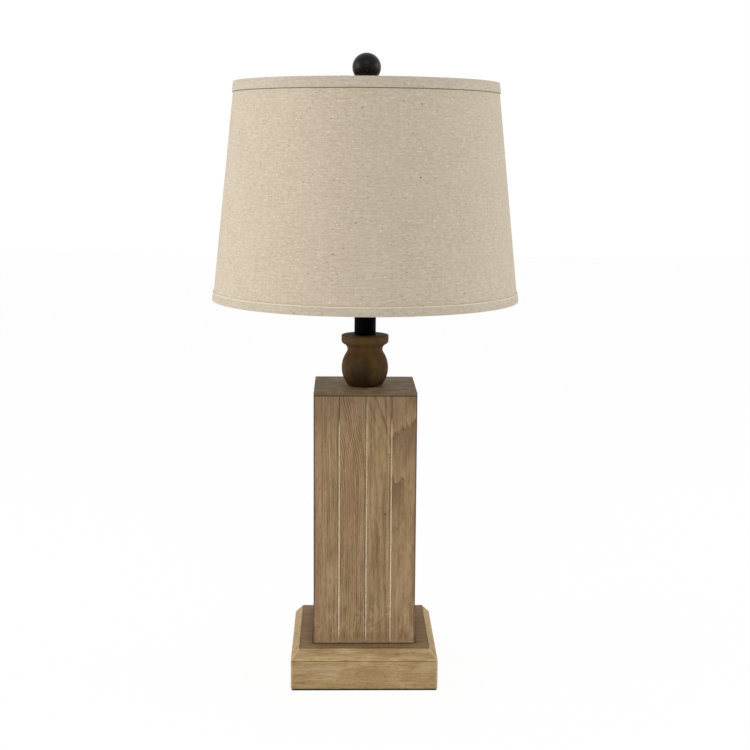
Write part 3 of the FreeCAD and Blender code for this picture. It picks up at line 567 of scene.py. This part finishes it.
def plinthPaint(name, degrees, seed, log):  # the grain runs from left to right
    paint = Paint(name)
    across, depth, up = turned(paint, degrees)
    half, bottom, joint, post = plinth["half"], plinth["bottom"], plinth["railTop"], column["half"]
    colour, height, limed = grain(paint, up, depth + half, across, log, seed)
    wobble = paint.noise((across * 0.1, depth * 0.1, up * 0.1 + seed), 4, 0.7) - 0.5
    brushed = paint.noise((across * 0.028 + seed, depth * 0.2, up * 0.26 + 3), 5, 0.72, 0.5)
    smoky = paint.noise((across * 0.022, depth * 0.08, up * 0.05 + seed), 4, 0.7)
    filled = paint.noise((across * 0.035, depth * 0.035, seed))
    corner = paint.maths("MINIMUM", abs(across), abs(depth))
    flat = paint.maths("MAXIMUM", abs(across), abs(depth))
    hip = abs(abs(across) - abs(depth)) + wobble * 1.6
    sloped = paint.ease(up, joint + 1.4, joint + 2.4) * paint.ease(up, 44.9, 44.2)
    onTop = paint.ease(up, 44.0, 44.9)
    # brushed lime over the front, rubbed edges, dark lines where pieces meet; then the bevel, whose four hips
    # and foot are rubbed pale and whose upper edge is dark
    colour = paint.stains(paint.mix(0.6, colour, "honey"),
        (brushed, 0.48, 0.68, 0.36, "brushed"),
        (brushed, 0.48, 0.34, 0.3, "bare"),
        (smoky, 0.5, 0.66, 0.3, "milky"),
        (smoky, 0.48, 0.36, 0.26, "ochre"),
        # painted shade on the board's top under the lamp shade
        (up, 44.6, 44.95, 0.66, "boardTop"),
        (abs(up - joint - 0.1 + wobble * 0.3), 0.55, 0.15, paint.ease(filled, 0.38, 0.56, 0.62, 0.06), "line"),
        (up + wobble * 2, bottom + 1.6, bottom + 0.3, 0.7, "line"),
        (corner + wobble * 2.6, half - 2.4, half - 0.4, 0.6, "worn"),
        (hip, 2.0, 0.5, sloped * 0.45, "hip"),
        (abs(up - joint - plinth["lip"] - 0.3 + wobble * 1.2), 1.0, 0.2, paint.ease(filled, 0.42, 0.58) * 0.5,
         "bevelFoot"),
        # a dark joint with painted shadow round the column's foot, then painted shade on the board beside it
        (flat + wobble, post + 2.8, post + 0.8, onTop * 0.95, "postLine"),
        (flat + wobble * 8, post + 11, post + 1, onTop * 0.3, "shaded"),
        (abs(flat - half + plinth["bevel"] + wobble * 0.8), 1.2, 0.2, paint.ease(up, 43.5, 44.5) * 0.5, "line"))
    return paint.finish(Base_Color=colour, Specular_IOR_Level=0.3, Roughness=paint.ease(limed, 0.3, 0.7, 0.6, 0.78),
                        Normal=paint.bump(height, 0.0003))


def addRails():
    outer, inner = plinth["half"], plinth["half"] - plinth["wall"]
    plan = [(-outer, -outer), (outer, -outer), (inner, -inner), (-inner, -inner)]
    for seed, (node, (degrees, log)) in enumerate(plinth["rails"].items()):
        material = plinthPaint(node + "Wood", degrees, seed + 2.3, logs[log])
        if node == "base_back_rail":  # its own solid has the hole of the cord's bush
            dress(node, material)
            continue
        rail = boardPiece(node + "_wood", plan, plinth["bottom"], plinth["railTop"], degrees, material,
                          plinth["easing"])
        settle(rail, "base", "wood", node)


def addBoard():  # one board with a lip, a bevel on four sides and the pipe's hole
    half, low, high, around = plinth["half"], plinth["railTop"], plinth["top"], plinth["holeSides"]
    points, faces, rings, holes = [], [], [], []
    for side, z in ((half, low), (half, low + plinth["lip"]), (half - plinth["bevel"], high)):
        rings.append(list(range(len(points), len(points) + 4)))
        points += [(x * side * mm, y * side * mm, z * mm) for x, y in ((-1, -1), (1, -1), (1, 1), (-1, 1))]
    for z in (low, high):
        holes.append(list(range(len(points), len(points) + around)))
        for i in range(around):
            turn = 2 * pi * (i - around * 3 / 8) / around
            points.append((plinth["hole"] * cos(turn) * mm, plinth["hole"] * sin(turn) * mm, z * mm))
    for lower, upper in zip(rings, rings[1:]):
        for i in range(4):
            j = (i + 1) % 4
            faces.append((lower[i], lower[j], upper[j], upper[i]))
    for i in range(around):
        j = (i + 1) % around
        faces.append((holes[0][j], holes[0][i], holes[1][i], holes[1][j]))
    part = around // 4
    for i in range(4):  # each quarter of the top and the underside
        j = (i + 1) % 4
        below, above = [[hole[(i * part + k) % around] for k in range(part + 1)] for hole in holes]
        faces.append(tuple([rings[-1][i], rings[-1][j]] + list(reversed(above))))
        faces.append(tuple([rings[0][j], rings[0][i]] + below))
    board = addObject("base_board", points, faces, plinthPaint("baseBoardWood", 0, 8.4, logs["streaked"]))
    settle(bevelled(board, plinth["easing"]), "base", "wood", "base_plate")


cap = {"under": 318.7, "over": 320.7}
addTones(smoke=(92, 76, 54), dusty=(128, 110, 82), capRim=(128, 104, 76))


def capPaint():
    paint = Paint("columnCapWood")
    x, y, z = paint.xyz()
    half = column["half"]
    colour, height = grain(paint, y, z - 330.0, x, logs["straight"], 6.1)[:2]
    smudge = paint.noise((x * 0.05, y * 0.09, 2.0), 4, 0.65, 0.8)
    wobble = paint.noise((x * 0.12, y * 0.12, z), 3, 0.7) - 0.5
    reach = paint.maths("MAXIMUM", abs(x), abs(y))
    side = paint.ease(z, cap["over"], cap["over"] - 0.4) * paint.ease(z, cap["under"], cap["under"] + 0.5)
    # the top is painted dark as shade under the lamp shade, smudged grey and brown at random; a dark line runs
    # along its edge and its side band is a painted highlight
    colour = paint.stains(paint.mix(0.8, colour, paint.mix(paint.ease(smudge, 0.38, 0.62), "smoke", "dusty")),
        (reach + wobble * 1.6, half - 1.3, half - 0.3, 0.55, "line"),
        (reach, half - 0.3, half - 0.05, side * 0.8, "capRim"))
    return paint.finish(Base_Color=colour, Specular_IOR_Level=0.3, Roughness=0.7, Normal=paint.bump(height, 0.0003))


addRails()
addBoard()
dress("column_cap", capPaint())
print("the plinth is dressed")


neck = {"foot": 321.0, "bulbRadius": 25.4, "bulbCurve": 29.8, "bulbHeight": 19.5, "waistRadius": 19.2,
        "waistCurve": 6.5, "rimRadius": 25.7, "rimCurve": 4.2, "rimHeight": 6.0, "arris": 1.0, "seat": 11.75,
        "seatDepth": 2.0, "hole": 5.3, "steps": (24, 14, 10, 4)}
addTones(walnut=(34, 20, 0), amber=(72, 50, 12), shoulder=(90, 62, 34), belly=(30, 16, 0), neckRim=(96, 76, 50))


def neckPaint():
    paint = Paint("turnedNeckWood")
    x, y, z = paint.xyz()
    colour, height = grain(paint, x, y + 40.0, z, logs["flatSawn"], 3.7)[:2]
    soft = paint.noise((x * 0.045, y * 0.045, z * 0.035), 3, 0.6, 0.4)
    lathed = paint.noise((x * 0.01, y * 0.01, z * 1.6), 3, 0.6)
    stain = paint.mix(paint.ease(soft, 0.38, 0.62), "walnut", "amber")
    # painted highlight on the shoulder and round the rim, painted shade on the lower bulb, a dark line at the foot
    colour = paint.stains(paint.mix(0.88, colour, stain),
        (z + soft * 24, 350, 368, paint.ease(z + soft * 20, 392, 374) * 0.38, "shoulder"),
        (z + soft * 30, 358, 336, 0.46, "belly"),
        (paint.maths("SQRT", x * x + y * y), 24.2, 25.5, paint.ease(z, 368, 371) * 0.3, "neckRim"),
        (z, 323.5, 321.3, 0.6, "line"))
    return paint.finish(Base_Color=colour, Specular_IOR_Level=0.08, Roughness=0.66,
                        Normal=paint.bump(height * 0.5 + lathed * 0.5, 0.0003))


def addNeck():  # three curves that touch: bulb, waist and rim
    n = neck
    bulbX, waistX = n["bulbRadius"] - n["bulbCurve"], n["waistRadius"] + n["waistCurve"]
    rimX, bulbZ = n["rimRadius"] - n["rimCurve"], n["bulbHeight"]
    waistZ = bulbZ + sqrt((n["bulbCurve"] + n["waistCurve"]) ** 2 - (waistX - bulbX) ** 2)
    rimZ = waistZ + sqrt((n["waistCurve"] + n["rimCurve"]) ** 2 - (waistX - rimX) ** 2)
    toWaist = math.degrees(math.atan2(waistZ - bulbZ, waistX - bulbX))
    toRim = math.degrees(math.atan2(rimZ - waistZ, rimX - waistX))
    low = -math.degrees(math.asin(bulbZ / n["bulbCurve"]))
    top = rimZ + n["rimHeight"]
    bulbSteps, waistSteps, rimSteps, arrisSteps = n["steps"]
    profile = arc(bulbX, bulbZ, n["bulbCurve"], low, toWaist, bulbSteps)
    profile += arc(waistX, waistZ, n["waistCurve"], toWaist + 180, toRim, waistSteps)[1:]
    profile += arc(rimX, rimZ, n["rimCurve"], toRim - 180, 0, rimSteps)[1:]
    profile += arc(n["rimRadius"] - n["arris"], top - n["arris"], n["arris"], 0, 90, arrisSteps)
    seatZ = top - n["seatDepth"]
    profile += [(n["seat"], top), (n["seat"], seatZ), (n["hole"], seatZ), (n["hole"], 0)]
    shape = lathe("turned_neck_wood", [(r, z + n["foot"]) for r, z in profile], neckPaint(), corner=50)
    settle(shape, "base", "neck_wood", "turned_neck")


addNeck()


def enamelPaint(name, tone, roughness, speckle, gloss=0.5):
    paint = Paint(name)
    where = paint.place()
    rubbed = paint.noise(where, 3, 0.6, scale=0.12)
    return paint.finish(Base_Color=paint.stains(srgb(*tone), (rubbed, 0.45, 0.75, speckle, srgb(38, 38, 38))),
                        Specular_IOR_Level=gloss,
                        Roughness=paint.ease(rubbed, 0.3, 0.7, roughness - 0.06, roughness + 0.08),
                        Normal=paint.bump(paint.noise(where, 4, 0.65, scale=1.1), 0.00006))


tube = {"radius": 11.7, "wall": 1.2, "bottom": 374.68, "top": 425.48, "outerEasing": 0.3, "innerEasing": 0.2}
blackEnamel = enamelPaint("blackEnamel", (1, 1, 2), 0.5, 0.02, 0.02)


def addTube():
    outer, inner, low, high = tube["radius"], tube["radius"] - tube["wall"], tube["bottom"], tube["top"]
    outerEasing, innerEasing = tube["outerEasing"], tube["innerEasing"]
    profile = [(inner, low), (outer, low), (outer, high - outerEasing), (outer - outerEasing, high),
               (inner + innerEasing, high), (inner, high - innerEasing)]
    settle(lathe("neck_tube_black", profile, blackEnamel, 96, corner=30), "base", "black_metal", "neck_tube")


addTube()
dress("check_ring", blackEnamel)
print("neck and tube are turned")


ball = {"radius": 15.2, "centre": 661.0, "stem": 6.0, "flange": 8.5, "flangeHeight": 2.2, "foot": 632.03,
        "hole": 4.65, "bore": 13.0, "flangeEasing": 0.8, "cove": 1.2, "coveLift": 1.3, "steps": 40}


def addFinial():
    b = ball
    touch = math.degrees(math.asin(b["stem"] / b["radius"]))
    lowest = b["centre"] - b["radius"] * cos(radians(touch))
    top, easing, cove = b["foot"] + b["flangeHeight"], b["flangeEasing"], b["cove"]
    profile = [(b["hole"], b["foot"]), (b["flange"], b["foot"])]
    profile += arc(b["flange"] - easing, top - easing, easing, 0, 90, 4)
    profile += arc(b["stem"] + cove, top + b["coveLift"], cove, 260, 180, 5)
    profile += [(b["stem"], lowest)]
    profile += arc(0, b["centre"], b["radius"], touch - 90, 90, b["steps"])[1:-1]
    profile += [(0, b["centre"] + b["radius"]), (0, b["foot"] + b["bore"]), (b["hole"], b["foot"] + b["bore"])]
    enamel = enamelPaint("finialEnamel", (5, 5, 5), 0.3, 0.18, 0.17)
    settle(lathe("finial_ball", profile, enamel, 96, corner=35), "finial_body", "black_metal", "finial")


addFinial()


def metalPaint(name, colour, roughness):
    paint = Paint(name)
    x, y, z = paint.xyz()
    drawn = paint.noise((x * 2.0, y * 2.0, z * 0.15), 4, 0.6)
    dull = paint.noise((x * 0.1, y * 0.1, z * 0.1), 4, 0.6)
    darker = tuple(c * 0.55 for c in colour[:3]) + (1,)
    return paint.finish(Base_Color=paint.stains(colour, (dull, 0.4, 0.8, 0.5, darker)), Metallic=1.0,
                        Roughness=paint.ease(dull, 0.3, 0.75, roughness, roughness + 0.16),
                        Normal=paint.bump(drawn, 0.00003))


metals = {"brass": metalPaint("platedBrass", srgb(206, 176, 116), 0.24),
          "nickel": metalPaint("brightNickel", srgb(205, 205, 200), 0.2),
          "zinc": metalPaint("zincPlate", srgb(186, 190, 196), 0.34)}
plated = {"brass": ("harp_saddle", "saddle_nut", "harp_wire", "harp_stud", "harp_sleeve_left", "harp_sleeve_right",
                    "socket_cap", "socket_shell", "centre_contact", "finial_insert"),
          "nickel": ("screw_shell", "bulb_cap"),
          "zinc": ("lamp_pipe", "pipe_washer", "pipe_nut", "bottom_panel_screws")}
for metal, pieces in plated.items():
    for node in pieces:
        dress(node, metals[metal])

# node, then the material's name, its tone, its roughness and how fine its grain is
moulded = {"switch_knob": ("knobPlastic", (30, 29, 28), 0.38, 0.9),
           "cord_bushing": ("bushPlastic", (26, 26, 26), 0.45, 0.9),
           "socket_core": ("socketInsulator", (34, 32, 30), 0.3, 0.7),
           "bulb_contact": ("bulbInsulator", (40, 40, 44), 0.2, 0.7),
           "felt_pad": ("blackFelt", (20, 20, 21), 0.97, 2.4)}


def mouldedPaint(name, tone, roughness, scale):
    paint = Paint(name)
    colour = srgb(*tone)
    grainy = paint.noise(paint.place(), 3, 0.6, scale=scale)
    paler = tuple(c * 1.9 + 0.01 for c in colour[:3]) + (1,)
    return paint.finish(Base_Color=paint.stains(colour, (grainy, 0.35, 0.75, 0.35, paler)), Roughness=roughness,
                        Normal=paint.bump(grainy, 0.00008))


for node, values in moulded.items():
    dress(node, mouldedPaint(*values))


def panelPaint(name, seed):
    paint = Paint(name)
    x, y, z = paint.xyz()
    colour, height = grain(paint, y, z + 30, x, logs["straight"], seed)[:2]
    return paint.finish(Base_Color=paint.mix(0.4, colour, srgb(196, 164, 120)), Roughness=0.75,
                        Normal=paint.bump(height, 0.0003))


for seed, node in enumerate(("bottom_panel", "base_corner_blocks", "column_bottom_block", "column_top_block")):
    dress(node, panelPaint(node + "Ply", seed + 11.5))
print("metal, plastic and panels are dressed")


shade = {"top": 645.03, "bottom": 415.63, "topRadius": 139.6, "bottomRadius": 164.2, "cloth": 0.5, "liner": 0.7,
         "gap": 0.05, "trim": 0.9, "topBand": 10.6, "bottomBand": 9.6, "tuck": 9.0, "wire": 1.3, "thread": 0.62,
         "flat": (0.304, 1.013), "around": 288, "rows": 36,
         "ripple": 0.16, "lap": 0.42, "lapHalf": 0.075, "lapEdge": 0.006,  # mm, mm and half angles in radians
         "trimRipple": 0.12, "trimBulge": 0.1}
addTones(between=(140, 122, 96), slub=(234, 224, 202), bright=(244, 238, 222), straw=(140, 118, 90),
         burr=(96, 68, 44), fleck=(104, 78, 54), paleFleck=(240, 233, 216), underTrim=(96, 76, 56),
         turnedEdge=(232, 220, 192))
clothTop = shade["top"] - shade["trim"] - shade["gap"]
clothBottom = shade["bottom"] + shade["trim"] + shade["gap"]


def shadeRadius(z):
    share = (z - shade["bottom"]) / (shade["top"] - shade["bottom"])
    return shade["bottomRadius"] + (shade["topRadius"] - shade["bottomRadius"]) * share


def linenPaint(name, light, dark, slant=0.0, fine=1.0, folded=False):
    paint = Paint(name)
    where = paint.node("ShaderNodeUVMap", {"uv_map": "cloth"})
    u, v = paint.split(paint.node("ShaderNodeVectorMath", {"operation": "SCALE"}, {0: where, 3: 1000.0}))[:2]
    u = u + v * slant
    pitch = shade["thread"]
    # warp and weft wander a little, and each thread has its own thickness
    uBend = u + (paint.noise((u * 0.08, v * 0.03, 1.0)) - 0.5) * 1.6
    vBend = v + (paint.noise((u * 0.03, v * 0.08, 5.0)) - 0.5) * 1.6
    warp, weft = [paint.maths("SINE", bend * (2 * pi / pitch)) * 0.5 + 0.5 for bend in (uBend, vBend)]
    over = paint.maths("SINE", uBend * (pi / pitch)) * paint.maths("SINE", vBend * (pi / pitch))
    weave = paint.mix(paint.ease(over, -0.25, 0.25), paint.join(warp, warp, warp), paint.join(weft, weft, weft))
    weave = paint.node("ShaderNodeRGBToBW", {}, {0: weave})
    warpTone = paint.noise((uBend / pitch, v * 0.022, 2.0), 2, 0.6)
    weftTone = paint.noise((u * 0.022, vBend / pitch, 8.0), 2, 0.6)
    warpSlub = paint.ease(paint.noise((uBend * 0.9, v * 0.055, 12.0), 1), 0.66, 0.8)
    weftSlub = paint.ease(paint.noise((u * 0.055, vBend * 0.9, 17.0), 1), 0.64, 0.78)
    cloud = paint.noise((u * 0.03, v * 0.03, 3.0), 4, 0.6)
    mottled = paint.noise((u * 0.16, v * 0.42, 21.0), 4, 0.72)
    short = paint.noise((u * 0.3, v * 0.95, 33.0), 2, 0.6)
    specks = paint.noise((u * 0.55, v * 0.75, 41.0), 3, 0.7)
    burr, rare = paint.cells(u * 0.045, v * 0.055, 9.5)[:2]
    fleck, darkPick, palePick = paint.cells(u * 0.2, v * 0.34, 0.5)
    tone = weftTone * 0.2 + warpTone * 0.12 + mottled * 0.42 + short * 0.26
    colour = paint.stains(paint.mix(paint.ease(tone, 0.31, 0.69), dark, light),
        (cloud, 0.3, 0.7, 0.15, light),
        (weave, 0.55, 0.05, 0.3, "between"))
    colour = paint.mix((warpSlub * 0.22 + weftSlub * 0.42) * fine, colour, "slub")
    colour = paint.stains(colour,
        (specks, 0.64, 0.76, 0.34 * fine, "bright"),
        (specks, 0.35, 0.26, 0.28 * fine, "straw"),
        (burr, 0.075, 0.03, paint.ease(rare, 0.5, 0.54) * (0.65 * fine), "burr"),
        (fleck, 0.2, 0.12, paint.ease(darkPick, 0.76, 0.82) * (0.4 + 0.24 * fine), "fleck"),
        (fleck, 0.2, 0.12, paint.ease(palePick, 0.68, 0.78) * (0.35 + 0.35 * fine), "paleFleck"))
    up = paint.xyz()[2]
    if folded:  # shadow where the cloth goes under the upper trim
        edge = (abs(up - shade["top"] + shade["topBand"] + 0.45), 0.75, 0.25, 0.72, "underTrim")
    # painted highlight along the lower trim's turned edge
    else:  # the lower trim's turned edge is pale
        edge = (abs(up - shade["bottom"] - shade["bottomBand"] + 0.5), 0.7, 0.25, 0.75, "turnedEdge")
    height = weave * 0.5 + weftSlub * 0.35 + warpSlub * 0.25 + weftTone * 0.25
    return paint.finish(Base_Color=paint.stains(colour, edge), Roughness=0.92, Sheen_Weight=0.12,
                        Normal=paint.bump(height, 0.00022))


linen = linenPaint("shadeLinen", srgb(222, 209, 187), srgb(179, 164, 141), folded=True)
trimLinen = linenPaint("trimLinen", srgb(216, 205, 187), srgb(176, 163, 142), slant=0.25, fine=0.45)


def hangs(turn, z):  # small unevenness of stretched cloth, with a lap seam at the back
    away = abs(math.atan2(sin(turn - pi / 2), cos(turn - pi / 2)))
    lap = shade["lap"] * max(0.0, min(1.0, (shade["lapHalf"] - away) / shade["lapEdge"]))
    return noise.noise(Vector((cos(turn) * 3.1, sin(turn) * 3.1, z * 0.012))) * shade["ripple"] + lap


def uneven(turn, z):  # the trims are a little fuller here and there
    return noise.noise(Vector((cos(turn) * 9, sin(turn) * 9, z * 0.05 + 7))) * shade["trimRipple"]


def wall(outside, thick, steps):  # up the outside and down the inside, in mm
    heights = [clothBottom + (clothTop - clothBottom) * i / steps for i in range(steps + 1)]
    outer = [(shadeRadius(z) - outside, z) for z in heights]
    inner = [(shadeRadius(z) - outside - thick, z) for z in reversed(heights)]
    return outer + inner


def linerPaint():
    paint = Paint("styreneLiner")
    where = paint.place()
    soft = paint.noise(where, 3, 0.6, scale=0.05)
    return paint.finish(Base_Color=paint.stains(srgb(236, 233, 226), (soft, 0.3, 0.7, 1.0, srgb(228, 224, 214))),
                        Roughness=0.42, Normal=paint.bump(paint.noise(where, scale=0.8), 0.00004))


def addShade():
    cover = lathe("shade_cover", wall(0.0, shade["cloth"], shade["rows"]), linen, shade["around"], hangs)
    slant = hypot(clothTop - clothBottom, shadeRadius(clothBottom) - shadeRadius(clothTop))
    area = pi * (shadeRadius(clothTop) + shadeRadius(clothBottom)) * slant
    settle(cover, "shade", "linen", "shade_fabric")
    area * mm * mm
    inside = wall(shade["cloth"] + shade["gap"], shade["liner"], 4)
    settle(lathe("shade_liner_sheet", inside, linerPaint(), 192), "shade", "liner", "shade_liner")


def addTrim(name, node, edge, rim, inward, band):
    # a folded strip: up its inner face from the band's edge, round the ring's wire and back down its outer face
    thick, gap, wire, rows = shade["trim"], shade["gap"], shade["wire"], 4
    half, fold = thick / 2, edge - inward * gap
    lining = shade["cloth"] + shade["liner"] + 3 * gap
    outside, inside = rim + inward * band, rim + inward * shade["tuck"]
    under, pinch = edge + inward * 2 * wire, edge + inward * 4.5 * wire
    tuck = shadeRadius(edge) - lining - 2.1 * wire - gap
    heights = [outside + (fold - outside) * i / rows for i in range(rows + 1)]
    quarter = [radians(d) for d in (0, 30, 60, 90)]
    corner = shadeRadius(rim) + gap + thick - half
    profile = [(shadeRadius(z) + gap, z) for z in heights] + [(tuck, fold), (tuck, under)]
    profile += [(shadeRadius(z) - lining, z) for z in (pinch, inside)]
    profile += [(shadeRadius(z) - lining - thick, z) for z in (inside, pinch)] + [(tuck - thick, under)]
    profile += [(tuck - half - half * cos(a), rim + inward * (half - half * sin(a))) for a in quarter]
    profile += [(corner + half * sin(a), rim + inward * (half - half * cos(a))) for a in quarter]
    for i in range(1, rows + 1):
        z = rim + inward * (half + (band - half) * i / rows)
        bulge = shade["trimBulge"] * sin(pi * i / rows)
        profile.append((shadeRadius(z) + gap + thick + bulge, z))
    if inward < 0:
        profile.reverse()
    piece = lathe(name, profile, trimLinen, shade["around"], uneven, corner=50)
    settle(piece, "shade", "linen_trim", node)
    measured = bmesh.new()
    measured.from_mesh(piece.data)
    area = sum(f.calc_area() for f in measured.faces) / 2
    measured.free()
    girth = 2 * pi * shadeRadius(rim) * mm
    area / girth
    return area / girth


addShade()
widths = [addTrim("top_trim_fold", "top_trim", clothTop, shade["top"], -1, shade["topBand"]),
          addTrim("bottom_trim_fold", "bottom_trim", clothBottom, shade["bottom"], 1, shade["bottomBand"])]
print("shade, liner and trims are made; trim widths in m:", [round(w, 4) for w in widths])

whiteEnamel = enamelPaint("whiteEnamel", (226, 225, 220), 0.36, 0.05)
for node in ("spider", "top_ring", "bottom_ring"):
    dress(node, whiteEnamel)


bulb = {"radius": 30.0, "neck": 12.2, "flare": 25.0, "neckEnd": 512.08, "seat": 490.58, "wall": 0.9,
        "flareSteps": 16, "ballSteps": 40}


def addBulb():
    b = bulb
    flareX = b["neck"] + b["flare"]
    centre = b["neckEnd"] + sqrt((b["radius"] + b["flare"]) ** 2 - flareX ** 2)
    meet = math.degrees(math.atan2(b["neckEnd"] - centre, flareX))

    def skin(inset):
        side = [(b["neck"] - inset, b["seat"])]
        side += arc(flareX, b["neckEnd"], b["flare"] + inset, 180, 180 + meet, b["flareSteps"])
        side += arc(0, centre, b["radius"] - inset, meet, 90, b["ballSteps"])[1:-1]
        return side + [(0, centre + b["radius"] - inset)]

    paint = Paint("frostedGlass")
    where = paint.place()
    x, y, z = paint.split(where)
    soft = paint.noise((x * 0.1, y * 0.1, z * 0.1), 3)
    colour = paint.stains(srgb(242, 241, 236), (z, 560, 500, 0.5, srgb(214, 212, 204)))
    paint.finish(Base_Color=colour, Roughness=paint.ease(soft, 0.3, 0.7, 0.28, 0.38), Coat_Weight=0.25,
                 Normal=paint.bump(paint.noise(where, 3, scale=1.5), 0.00003))
    profile = skin(0) + list(reversed(skin(b["wall"])))
    settle(lathe("bulb_glass_frosted", profile, paint.material, 96), "bulb", "bulb_glass", "bulb_glass")


addBulb()


# Rolled threads are one rule: a ridge wound round a core
threads = {name: dict(zip(("body", "slot", "radius", "ridge", "pitch", "turns", "foot"), values))
           for name, values in {
               "bulb_cap_thread": ("bulb", "nickel", 12.9, 0.62, 3.63, 4.6, 480.6),
               "harp_stud_thread": ("harp", "brass", 2.92, 0.32, 0.94, 12.0, 631.6),
               "pipe_foot_thread": ("base", "zinc", 4.86, 0.3, 0.94, 4.4, 21.4),
               "pipe_head_thread": ("base", "zinc", 4.86, 0.26, 0.94, 5.0, 427.3)}.items()}


def threadRule():
    rule = Rule("rolledThread", "Thread", Radius="Float", Ridge="Float", Pitch="Float", Turns="Float", Foot="Float",
                Finish="Material")
    add, given = rule.add, rule.given
    rise = add("ShaderNodeMath", {0: given["Pitch"], 1: given["Turns"]}, operation="MULTIPLY")
    spiral = add("GeometryNodeCurveSpiral", {"Resolution": 48, "Rotations": given["Turns"], "Height": rise,
                                             "Start Radius": given["Radius"], "End Radius": given["Radius"]})
    ridge = add("GeometryNodeCurvePrimitiveCircle", {"Resolution": 6, "Radius": given["Ridge"]})
    swept = add("GeometryNodeCurveToMesh", {"Curve": spiral, "Profile Curve": ridge, "Fill Caps": True})
    lift = add("ShaderNodeCombineXYZ", {2: given["Foot"]})
    return rule.close(add("GeometryNodeTransform", {"Geometry": swept, "Translation": lift}))


def addThreads():
    rule = threadRule()
    for name, thread in threads.items():
        piece = link(name, bpy.data.meshes.new(name))
        sizes = {key: thread[key.lower()] * mm for key in ("Radius", "Ridge", "Pitch", "Foot")}
        rule.follow(piece, Turns=thread["turns"], Finish=metals[thread["slot"]], **sizes)
        settle(piece, thread["body"], thread["slot"])


addThreads()
print("bulb and threads are made")
